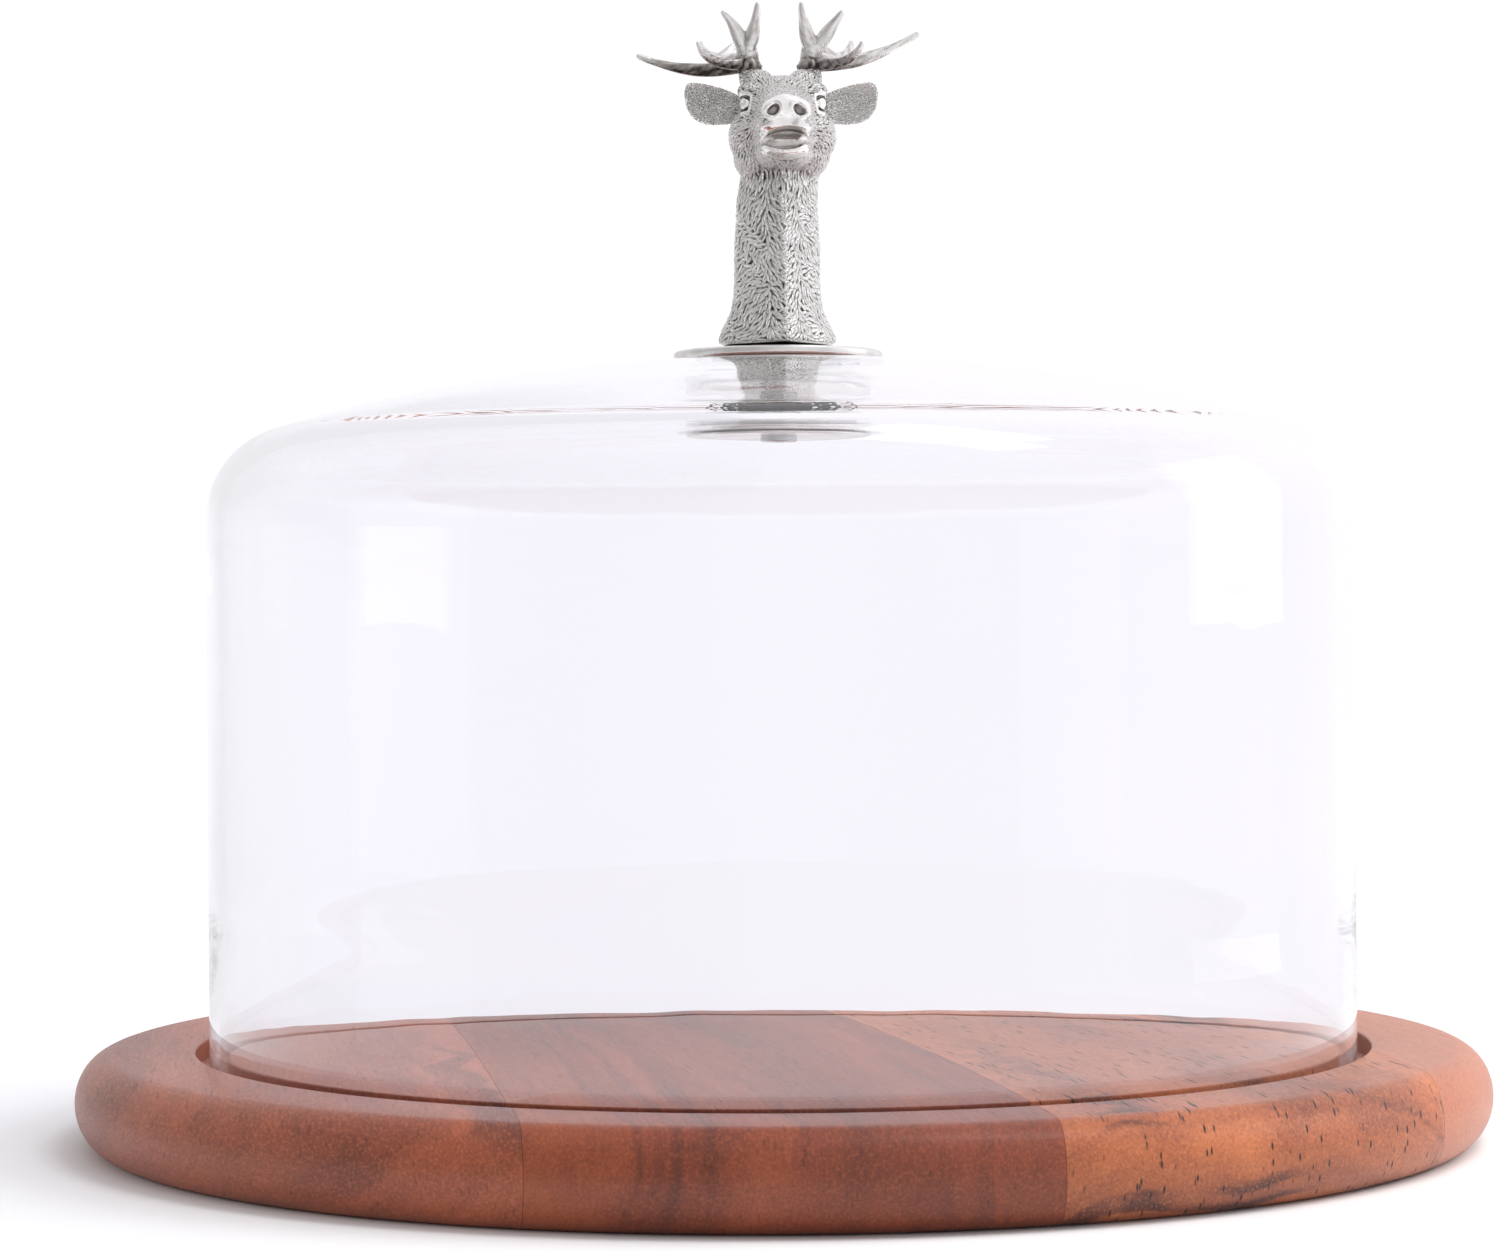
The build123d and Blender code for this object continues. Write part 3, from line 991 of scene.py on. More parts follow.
@dataclass
class Coat:
    """Locks of cast hair laid over a skin like shingles."""

    seed: int
    spacing: float
    length: float
    width: float
    strand: float = 0.42
    reach: int = 10

    def lay(self, points: np.ndarray, normals: np.ndarray, flow: np.ndarray, scale: np.ndarray,
            mask: np.ndarray) -> tuple[np.ndarray, np.ndarray]:
        """Works out the relief of the locks.

        Args:
            points: the skin's points.
            normals: their outward directions.
            flow: the way the hair lies at each point.
            scale: how much longer or shorter than usual the locks are.
            mask: where there is hair, 0 to 1.

        Returns:
            The relief, 0 to 1, and the place across its lock counted in strands, at each point.
        """
        random = np.random.default_rng(self.seed)
        roots = self._scatter(points, mask, random)
        tree = KDTree(len(roots))
        for number, root in enumerate(roots):
            tree.insert(points[root], number)
        tree.balance()
        lean = random.normal(0, 0.22, len(roots))
        curl = random.normal(0, 0.5, len(roots))
        level = random.uniform(0.62, 1.0, len(roots))
        along = flow[roots]
        across = np.cross(normals[roots], along)
        along = along * np.cos(lean)[:, None] + across * np.sin(lean)[:, None]
        across = np.cross(normals[roots], along)
        half_length = self.length / 2 * scale[roots] * random.uniform(0.8, 1.25, len(roots))
        half_width = self.width / 2 * random.uniform(0.8, 1.3, len(roots))
        nearest = np.array([[found[1] for found in tree.find_n(point, self.reach)] for point in points])
        relief = np.zeros(len(points))
        strand = np.zeros(len(points))
        for column in nearest.T:
            offset = points - points[roots[column]]
            u = np.einsum("ij,ij->i", offset, along[column]) / half_length[column]
            v = np.einsum("ij,ij->i", offset, across[column]) / half_width[column] + curl[column] * u * u
            taper = 1.0 - 0.7 * np.clip(u, 0, 1) ** 1.6
            ridge = np.clip(1.0 - (v / np.maximum(taper, 0.05)) ** 2, 0, 1)
            rise = np.clip((u + 1.0) / 1.5, 0, 1) ** 0.8 * np.clip((1.0 - u) / 0.28, 0, 1)
            height = ridge * rise * level[column]
            higher = height > relief
            relief = np.where(higher, height, relief)
            strand = np.where(higher, v * half_width[column] / self.strand + column * 0.37, strand)
        return relief * mask, strand

    def _scatter(self, points: np.ndarray, mask: np.ndarray, random: np.random.Generator) -> np.ndarray:
        """Picks points no closer to each other than the spacing.

        Args:
            points: the skin's points.
            mask: where there is hair.
            random: the draws.

        Returns:
            The picked points' numbers.
        """
        cells: dict[tuple[int, int, int], list[int]] = {}
        picked = []
        keys = np.floor(points / self.spacing).astype(int)
        for number in random.permutation(len(points)):
            if mask[number] < 0.25:
                continue
            x, y, z = keys[number]
            around = [other for dx in (-1, 0, 1) for dy in (-1, 0, 1) for dz in (-1, 0, 1)
                      for other in cells.get((x + dx, y + dy, z + dz), ())]
            gaps = np.sum((points[around] - points[number]) ** 2, axis=1) if around else None
            if gaps is not None and np.min(gaps) < self.spacing ** 2:
                continue
            cells.setdefault((x, y, z), []).append(number)
            picked.append(number)
        return np.array(picked)


@dataclass
class StagBust:
    """The cast stag: a crested neck, and a raised head with cupped ears and an open mouth."""

    base: float = KNOB_BASE
    split_height: float = 44.5
    blocking_grain: float = 0.45
    carving_grain: float = 0.34
    final_grain: float = 0.24
    blank_radius: float = 15.0
    coat_depth: float = 0.54
    head_coat_depth: float = 0.32
    fringe_depth: float = 0.12
    eye_facing: Point = (0.80, -0.58, 0.06)
    eye_middle: Point = (10.4, -8.0, 61.5)
    lid_radii: Spot = (3.3, 2.65)
    mouth_height: float = 50.2
    mouth_slant: float = 0.05
    mouth_width: float = 7.3
    nose_tip: Point = (0.0, -31.0, 58.0)

    @staticmethod
    def between(place: np.ndarray, sections: Sequence[tuple[float, ...]]) -> tuple[np.ndarray, ...]:
        """Gives measures between sections; each section has its place first, and then its measures."""
        places, *rows = zip(*sections)
        return tuple(np.interp(place, places, row) for row in rows)

    def neck_widths(self, height: np.ndarray) -> tuple[np.ndarray, ...]:
        """Gives the neck's half width, front, back and how sharp its crest is, at heights above its base.

        Args:
            height: the heights.

        Returns:
            The four measures.
        """
        return self.between(height, (
            (0, 12.6, 12.6, 12.4, 0.6), (0.8, 12.9, 12.9, 12.6, 0.6), (1.1, 14.9, 14.8, 14.0, 0.7),
            (2.8, 15.05, 14.9, 14.2, 0.7), (4.5, 14.4, 14.3, 13.9, 0.7), (6.2, 13.5, 13.9, 13.6, 0.7),
            (8, 12.6, 13.5, 13.2, 0.7), (10.4, 11.7, 13.1, 12.9, 0.7), (13, 11.2, 12.9, 12.7, 0.68),
            (16.7, 10.95, 12.7, 12.5, 0.68), (26, 10.95, 12.3, 12.4, 0.66), (33, 10.5, 11.8, 12.3, 0.64),
            (38, 10.3, 11.2, 12.2, 0.58), (42, 10.0, 10.4, 12.1, 0.5), (46, 9.6, 9.2, 12.0, 0.4),
            (50, 9.2, 8.4, 11.8, 0.3), (54, 8.8, 8.0, 11.4, 0.2)))

    def add_neck(self, clay: Clay) -> None:
        """Adds the neck as a column pressed to its sections.

        Args:
            clay: the clay to add it to.
        """
        Bench.deselect()
        bpy.ops.mesh.primitive_circle_add(vertices=128, radius=self.blank_radius * MM, fill_type="NGON",
                                          location=(0, 0, self.base))
        neck = bpy.context.object
        Bench.edit(neck)
        levels = [0.4, 0.8, 1.1, 2.0, 2.8, 3.6, 4.5, 5.4, 6.2, 7.1, 8, 9.2, 10.4, 11.7, 13, 14.8, 16.7]
        levels += list(range(19, 55, 2))
        last = 0.0
        for level in levels:
            rise = (0, 0, (level - last) * MM)
            bpy.ops.mesh.extrude_region_move(TRANSFORM_OT_translate={"value": rise})
            last = level
        bpy.ops.mesh.select_all(action="SELECT")
        bpy.ops.mesh.normals_make_consistent(inside=False)
        Bench.deselect()
        column = Clay(self.base)
        column.piece = neck
        Bench.pick(neck)
        bpy.ops.object.transform_apply(location=True, rotation=True, scale=True)
        points, _ = column.read()
        half, front, back, crest = self.neck_widths(points[:, 2])
        angle = np.arctan2(points[:, 1], points[:, 0])
        radius = np.hypot(points[:, 0], points[:, 1]) / self.blank_radius
        side = np.abs(np.cos(angle))
        depth = np.abs(np.sin(angle))
        forward = -front * (crest * (1 - side) + (1 - crest) * depth)
        rear = back * depth ** 0.92
        points[:, 0] = half * np.cos(angle) * radius
        points[:, 1] = np.where(angle < 0, forward, rear) * radius
        column.write(points)
        clay.lumps.append(neck)

    def add_ears(self, clay: Clay) -> None:
        """Adds the cupped ears.

        Args:
            clay: the clay to add them to.
        """
        for side in (1, -1):
            Bench.deselect()
            bpy.ops.mesh.primitive_uv_sphere_add(segments=48, ring_count=36, radius=MM,
                                                 location=(0, 0, self.base), rotation=(0, math.pi / 2, 0))
            ear = Clay(self.base)
            ear.piece = bpy.context.object
            bpy.ops.object.transform_apply(location=True, rotation=True, scale=True)
            points, _ = ear.read()
            share = (points[:, 0] + 1) / 2
            angle = np.arctan2(points[:, 1], points[:, 2])
            middle, half, thick, cup = self.between(share, (
                (0, 61.6, 2.6, 1.5, 0.5), (0.12, 61.6, 3.7, 1.3, 2.2), (0.3, 61.8, 4.6, 1.0, 3.8),
                (0.5, 62.1, 5.1, 0.8, 4.2), (0.68, 62.6, 5.25, 0.7, 3.6), (0.82, 63.3, 4.9, 0.65, 2.6),
                (0.92, 64.1, 4.0, 0.6, 1.5), (0.97, 64.7, 2.9, 0.5, 0.7), (1.0, 65.2, 0.6, 0.2, 0.0)))
            upper = np.cos(angle)
            points[:, 0] = side * (9.6 + 15.2 * share)
            points[:, 2] = middle + half * upper
            back = 3.4 - 1.4 * share + thick * np.sin(angle)
            points[:, 1] = back - cup * np.abs(upper) ** 1.7 + 0.9 * cup * 0.5
            ear.write(points)
            if side < 0:
                Bench.edit(ear.piece)
                bpy.ops.mesh.normals_make_consistent(inside=False)
                Bench.deselect()
            clay.lumps.append(ear.piece)

    def block_out(self, clay: Clay) -> None:
        """Blocks out the head's main masses.

        Args:
            clay: the clay to add them to.
        """
        clay.ball((0, 1.2, 59.4), (11.2, 11.9, 10.0))
        clay.ball((0, -4.6, 61.6), (10.2, 8.6, 7.5), (12, 0, 0))
        clay.ball((5.9, -1.0, 67.6), (4.3, 5.4, 3.5), (0, 10, 0), mirrored=True)
        clay.ball((8.3, -5.6, 65.2), (3.3, 3.8, 2.3), (0, 18, -22), mirrored=True)
        clay.ball((7.0, -3.2, 53.6), (6.8, 8.6, 7.6), mirrored=True)
        clay.ball((6.7, -2.4, 48.6), (5.6, 8.2, 5.6), mirrored=True)
        clay.ball((0, -0.6, 49.5), (9.6, 9.2, 7.6))
        clay.chain((0, -8.0, 60.0), (0, -26.2, 57.3), (8.8, 6.0, 6.8), (5.7, 4.2, 3.9), 9)
        clay.chain((0, -8.0, 55.0), (0, -24.6, 54.4), (9.4, 6.0, 5.6), (6.4, 4.8, 3.0), 9)
        clay.ball((0, -27.4, 58.0), (5.6, 3.3, 3.2), (14, 0, 0))
        clay.ball((3.7, -28.0, 57.2), (2.7, 2.6, 2.8), mirrored=True)
        clay.ball((3.2, -26.2, 53.7), (3.9, 3.6, 1.6), (0, 12, 0), mirrored=True)
        clay.chain((0, -5.0, 48.6), (0, -23.2, 47.9), (8.6, 6.0, 4.6), (5.4, 4.0, 2.3), 9)
        clay.ball((0, -24.6, 47.9), (6.0, 3.5, 1.8), (8, 0, 0))
        clay.chain((0, -9.0, 51.4), (0, -21.0, 51.0), (8.8, 5.0, 4.0), (5.9, 3.9, 3.0), 6)
        clay.ball((7.7, 2.4, 69.4), (3.1, 3.1, 3.6), (0, 8, 0), mirrored=True)

    @staticmethod
    def nostril(points: np.ndarray, side: int) -> np.ndarray:
        """Measures how far points lie from a comma-shaped nostril's middle, in shares of its size.

        Args:
            points: the points.
            side: 1 for the right, -1 for the left.

        Returns:
            0 in the middle, 1 on the nostril's edge.
        """
        x = side * points[:, 0] - 3.3
        z = points[:, 2] - 57.0 + 0.35 * x
        tail = np.where(x > 0, 2.05, 1.5)
        height = 1.5 - 0.32 * np.clip(x, 0, 2)
        return np.hypot(x / tail, z / np.maximum(height, 0.5)) + np.where(points[:, 1] > -24.5, 9, 0)

    @staticmethod
    def oval(points: np.ndarray, side: int, centre: Point, facing: Point, radii: Spot) -> np.ndarray:
        """Measures how far points lie from an oval's middle, given for one side and mirrored by side."""
        return ring_band(points, (side * centre[0], *centre[1:]), (side * facing[0], *facing[1:]), radii)

    def eye_oval(self, points: np.ndarray, side: int, radii: Spot) -> np.ndarray:
        """Measures how far points lie from the middle of an eye, in shares of the given radii."""
        return self.oval(points, side, self.eye_middle, self.eye_facing, radii)

    @staticmethod
    def arch(x: np.ndarray, half_width: float) -> np.ndarray:
        """Gives a flat bow across the muzzle: 1 in the middle, 0 from the half width on."""
        return np.clip(1 - (x / half_width) ** 2, 0, 1)

    def mouth_line(self, x: np.ndarray) -> np.ndarray:
        """Gives the height of the mouth's middle across the muzzle."""
        return self.mouth_height + self.mouth_slant * x

    def carve_sockets(self, clay: Clay) -> None:
        """Hollows the eye sockets and the cheeks in front of them.

        Args:
            clay: the clay to carve.
        """
        points, normals = clay.read()
        for side in (-1, 1):
            socket = self.oval(points, side, (9.9, -7.6, 61.5), self.eye_facing, (3.3, 2.7))
            swell(points, normals, -1.5 * fade(socket, 0.35, 1.15))
            hollow = self.oval(points, side, (7.4, -14.5, 59.4), (0.9, -0.4, 0.1), (4.2, 2.2))
            swell(points, normals, -0.6 * fade(hollow, 0.2, 1.3))
        clay.write(points)

    def carve_mouth(self, clay: Clay) -> None:
        """Pushes the open mouth back between its lips, and leaves a tongue in it.

        Args:
            clay: the clay to carve.
        """
        points, _ = clay.read()
        x, y, z = points.T
        arch = self.arch(x, self.mouth_width)
        top_edge = self.mouth_line(x) + 2.85 * arch
        low_edge = self.mouth_line(x) - 2.75 * arch
        inside = smooth_step(z, low_edge - 0.2, low_edge + 0.2)
        inside *= fade(z, top_edge - 0.2, top_edge + 0.2)
        inside *= smooth_step(y, -19.0, -21.5) * (np.abs(x) < self.mouth_width + 0.1)
        tongue = 1.5 * np.exp(-((z - 49.5) / 1.5) ** 4) * np.exp(-(x / 4.6) ** 4)
        deep = -23.2 - tongue - 1.2 * (1 - arch)
        points[:, 1] += np.maximum(deep - y, 0) * inside
        clay.write(points)

    def carve_nostrils(self, clay: Clay) -> None:
        """Sinks the nostrils and raises their rims.

        Args:
            clay: the clay to carve.
        """
        points, normals = clay.read()
        for side in (-1, 1):
            nostril = self.nostril(points, side)
            swell(points, normals, 0.34 * bell(nostril, 1.35, 0.24))
            points[:, 1] += 1.5 * fade(nostril, 0.62, 1.05)
            points[:, 0] -= side * 0.5 * fade(nostril, 0.55, 1.05)
        clay.write(points)

    def add_eyes(self, clay: Clay) -> None:
        """Sets the eyeballs in their sockets."""
        clay.ball((8.35, -6.55, 61.5), (2.65, 2.65, 2.65), mirrored=True)

    def draw_eyes(self, clay: Clay) -> None:
        """Draws the lids, the creases beside them and the pupils.

        Args:
            clay: the clay to work.
        """
        points, normals = clay.read()
        for side in (-1, 1):
            lid = self.eye_oval(points, side, self.lid_radii)
            for lift, place, width in ((0.70, 1.0, 0.15), (-0.35, 1.36, 0.13), (-0.55, 0.73, 0.11)):
                swell(points, normals, lift * bell(lid, place, width))
            pupil = self.eye_oval(points, side, (1.0, 1.0))
            swell(points, normals, -0.5 * fade(pupil, 0.4, 1.0))
            swell(points, normals, -0.16 * bell(pupil, 1.7, 0.25))
        clay.write(points)

    def draw_lips(self, clay: Clay) -> None:
        """Raises the lips and draws the crease under them.

        Args:
            clay: the clay to work.
        """
        points, normals = clay.read()
        front = smooth_step(points[:, 1], -18.5, -21.0)
        arch = self.arch(points[:, 0], 7.5)
        middle = self.mouth_line(points[:, 0])
        upper, lower = middle + 3.1 * arch, middle - 3.25 * arch - 0.1
        for edge, width, lift in ((upper, 0.42, 0.38), (lower, 0.66, 0.50)):
            band = bell(points[:, 2], edge, width) * front * (np.abs(points[:, 0]) < 7.8)
            swell(points, normals, lift * band)
        crease = bell(points[:, 2], middle - 4.8 * arch, 0.40) * front * (normals[:, 1] < 0)
        swell(points, normals, -0.32 * crease * (np.abs(points[:, 0]) < 6.4))
        clay.write(points)

    def smooth_parts(self, points: np.ndarray) -> tuple[np.ndarray, np.ndarray]:
        """Tells where the bust has no hair.

        Args:
            points: its points.

        Returns:
            Where it is bare, and where it is darkened (the dark hollows of the mouth, nostrils and lids, and
            painted shade under the jaw and at the foot of the neck), each 0 to 1.
        """
        x, y, z = points.T
        nose = np.hypot(x / 6.6, (z - 57.4) / 4.6) + np.where(y > -25.6, 9, 0)
        lips = np.hypot(x / 8.2, (z - self.mouth_height) / 4.8) + np.where(y > -18.5, 9, 0)
        bare = [fade(nose, 0.85, 1.05), fade(lips, 0.85, 1.05), fade(z, 0.9, 1.6)]
        gap = np.abs(z - self.mouth_height - self.mouth_slant * x) < 2.8 * self.arch(x, self.mouth_width)
        mouth = (y < -18.5) * gap * smooth_step(y, -27.0, -25.4)
        # painted shadow: a dark arc under the chin, where the jaw overhangs the throat
        painted_throat_shadow = bell(z, 45.0 - 0.03 * x * x, 0.9) * (y < -5) * (np.abs(x) < 9.6)
        # the last entry is painted shadow: a dark band at the foot of the neck, where it meets the flange's
        # boss
        hollow = [mouth * (0.62 - 0.16 * bell(z, 50.6, 0.5)), 0.62 * painted_throat_shadow, 1.3 * fade(z, 0.7, 1.1)]
        for side in (-1, 1):
            bare.append(fade(self.eye_oval(points, side, (3.5, 2.8)), 0.95, 1.25))
            hollow.append(0.7 * fade(self.nostril(points, side), 0.75, 1.05))
            hollow.append(0.7 * bell(self.eye_oval(points, side, self.lid_radii), 0.74, 0.12))
        nothing = np.zeros(len(points))
        return np.maximum.reduce([nothing, *bare]), np.maximum.reduce([nothing, *hollow])

    def hair_flow(self, points: np.ndarray, normals: np.ndarray) -> np.ndarray:
        """Gives the way the hair lies.

        Args:
            points: the skin's points.
            normals: their outward directions.

        Returns:
            A unit vector along the skin for each point.
        """
        x, y, z = points.T
        side = np.sign(x + 1e-6)
        wander = np.sin(x * 0.9 + z * 0.55 + 1.3) + np.sin(y * 0.8 - z * 0.8) + np.sin(z * 0.47 + x * 0.31)
        down = np.stack([0 * x, 0 * x, -np.ones_like(x)], axis=1)
        inward = np.stack([-side, -0.35 * np.ones_like(x), 0 * x], axis=1)
        crest = fade(np.abs(x), 2.6, 5.6) * (y < 0)
        lean = np.radians(44) * crest + np.radians(-52 + 24 * wander) * (1 - crest)
        top = smooth_step(z, 37.0, 42.0)
        lean = lean * (1 - top) + np.radians(6 * wander) * top
        neck = down * np.cos(lean)[:, None] + inward * np.sin(lean)[:, None]
        away = unit(points - np.array(self.nose_tip))
        low = smooth_step(z, 56.0, 47.0)[:, None]
        head = away * (1 - low * 0.55) + down * low * 0.75
        head += np.stack([0.10 * wander, 0 * x, 0.10 * wander], axis=1)
        ear = smooth_step(np.abs(x), 13.0, 14.5)[:, None] * (z > 55)[:, None]
        out = np.stack([side, 0 * x, (z - 61.5) * 0.16], axis=1)
        head = head * (1 - ear) + out * ear
        mix = smooth_step(z, 43.0, 46.5)[:, None]
        flow = neck * (1 - mix) + head * mix
        flow -= normals * np.sum(flow * normals, axis=1, keepdims=True)
        return unit(flow)

    def lay_hair(self, points: np.ndarray, normals: np.ndarray,
                 bare: np.ndarray) -> tuple[np.ndarray, np.ndarray]:
        """Lays the long coat of the neck and the short one of the head, and blends them.

        Args:
            points: the skin's points.
            normals: their outward directions.
            bare: where there is no hair.

        Returns:
            The relief and the place across its lock, at each point.
        """
        z = points[:, 2]
        ones = np.ones(len(points))
        coats = (points, normals, self.hair_flow(points, normals))
        neck = Coat(seed=11, spacing=1.0, length=4.0, width=1.2)
        head = Coat(seed=23, spacing=0.72, length=2.1, width=0.9, strand=0.34)
        long_relief, long_strand = neck.lay(*coats, ones, (1 - bare) * (z < 47.5))
        short_relief, short_strand = head.lay(*coats, ones + self.fringe(points), (1 - bare) * (z > 42.0))
        headward = self.headward(z)
        relief = long_relief * (1 - headward) + short_relief * headward
        return relief, np.where(headward < 0.5, long_strand, short_strand)

    @staticmethod
    def headward(z: np.ndarray) -> np.ndarray:
        """Tells how far the head's short coat has taken over from the neck's at a height."""
        return smooth_step(z, 43.0, 47.0)

    @staticmethod
    def fringe(points: np.ndarray) -> np.ndarray:
        """Tells where the longer locks hang under the jaw."""
        return bell(points[:, 2], 43.5, 2.2) * (points[:, 1] < 4)

    def grow_hair(self, clay: Clay) -> None:
        """Raises the locks of hair and notes the relief for the finish.

        Args:
            clay: the clay to work.
        """
        points, normals = clay.read()
        normals = unit(clay.neighbours_mean(normals, 3))
        z = points[:, 2]
        bare, hollow = self.smooth_parts(points)
        relief, strand = self.lay_hair(points, normals, bare)
        headward = self.headward(z)
        depth = self.coat_depth * (1 - headward) + self.head_coat_depth * headward
        depth = depth + self.fringe_depth * self.fringe(points)
        crest = bell(points[:, 0], 0.0, 0.45) * (points[:, 1] < -5) * (z < 40) * (z > 0.8)
        relief = np.maximum(relief, crest * (0.45 + 0.25 * np.sin(z * 3.1)))
        swell(points, normals, (relief - 0.55) * depth * (1 - bare))
        clay.write(points)
        self.note_relief(clay, points, relief, bare, hollow)
        clay.note("strand", strand)
        clay.note("furry", 1 - bare)
        grown, _ = clay.read()
        clay.write(self.turn_to_side(grown, z))

    @staticmethod
    def note_relief(clay: Clay, points: np.ndarray, relief: np.ndarray, bare: np.ndarray,
                    hollow: np.ndarray) -> None:
        """Notes how high each place stands: dark in hollows and between locks, with painted shade in the ear
        cups, under the jaw and at the foot of the neck, and even on the ears.

        Args:
            clay: the clay with its hair.
            points: its points.
            relief: the locks' relief.
            bare: where there is no hair.
            hollow: where it is darkened: dark hollows, and painted shade under the jaw and at the foot of
                the neck.
        """
        grown, normals = clay.read()
        cavity = np.sum((grown - clay.neighbours_mean(grown, 5)) * normals, axis=1)
        out, z = np.abs(points[:, 0]), points[:, 2]
        height = np.where(bare > 0.5, 0.74, 0.13 + relief * 0.87)
        # painted shade: the forward-facing middle of each ear cup is darkened
        painted_ear_cup_shade = smooth_step(out, 12.5, 15.0) * smooth_step(out, 24.0, 21.0)
        painted_ear_cup_shade *= bell(z, 62.2, 3.0) * (normals[:, 1] < 0) * (z > 55)
        height = height * (1 - 0.12 * painted_ear_cup_shade)
        height = np.clip(height + np.clip(cavity * 1.8, -0.6, 0.25), 0, 1)
        height = height * np.clip(1 - hollow * 0.72, 0, 1)
        ear = smooth_step(out, 11.5, 13.0) * (z > 55) * (1 - bare)
        clay.note("relief", height * (1 - 0.5 * ear) + 0.52 * ear)

    @staticmethod
    def turn_to_side(points: np.ndarray, height: np.ndarray) -> np.ndarray:
        """Turns the foot of the neck more than the head, and moves the head a little to the right.

        Args:
            points: the skin's points.
            height: the height at which each is measured.

        Returns:
            The turned points.
        """
        twist = np.radians(np.interp(height, (0, 10, 30, 42, 49), (10.0, 9.8, 8.0, 6.0, 2.2)))
        sideways = np.interp(height, (0, 38, 50, 66, 72), (0, 0.1, 1.35, 1.35, 1.0))
        x, y, z = points.T
        cosine, sine = np.cos(twist), np.sin(twist)
        return np.stack([x * cosine - y * sine + sideways, x * sine + y * cosine, z], axis=1)

    def split(self, piece: bpy.types.Object) -> list[bpy.types.Object]:
        """Parts the bust into neck and head with one level cut.

        Args:
            piece: the whole bust.

        Returns:
            The neck and the head.
        """
        Bench.pick(piece)
        bpy.ops.object.duplicate()
        head = bpy.context.object
        cut = (0, 0, self.base + self.split_height * MM)
        for part, keep_low in ((piece, True), (head, False)):
            Bench.edit(part)
            bpy.ops.mesh.bisect(plane_co=cut, plane_no=(0, 0, 1), use_fill=True,
                                clear_outer=keep_low, clear_inner=not keep_low, threshold=1e-9)
            Bench.deselect()
        return [piece, head]

    def build(self, pewter: CastPewter) -> list[bpy.types.Object]:
        """Builds and dresses the bust.

        Args:
            pewter: its finish.

        Returns:
            The neck and the head.
        """
        clay = Clay(self.base)
        self.block_out(clay)
        self.add_neck(clay)
        clay.fuse(self.blocking_grain, 9)
        for carve in (self.carve_sockets, self.carve_mouth, self.carve_nostrils):
            carve(clay)
        clay.fuse(self.carving_grain, 2)
        self.add_eyes(clay)
        self.add_ears(clay)
        clay.fuse(self.final_grain, 3)
        self.draw_eyes(clay)
        self.draw_lips(clay)
        self.grow_hair(clay)
        parts = self.split(clay.piece)
        material = pewter.make()
        for part, name in zip(parts, ("stag_neck_cast", "stag_head_cast")):
            Bench.settle(part, name, smooth_angle=180)
            dress(part, material)
            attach(part, "finial")
            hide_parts("stag_bust")
        return parts


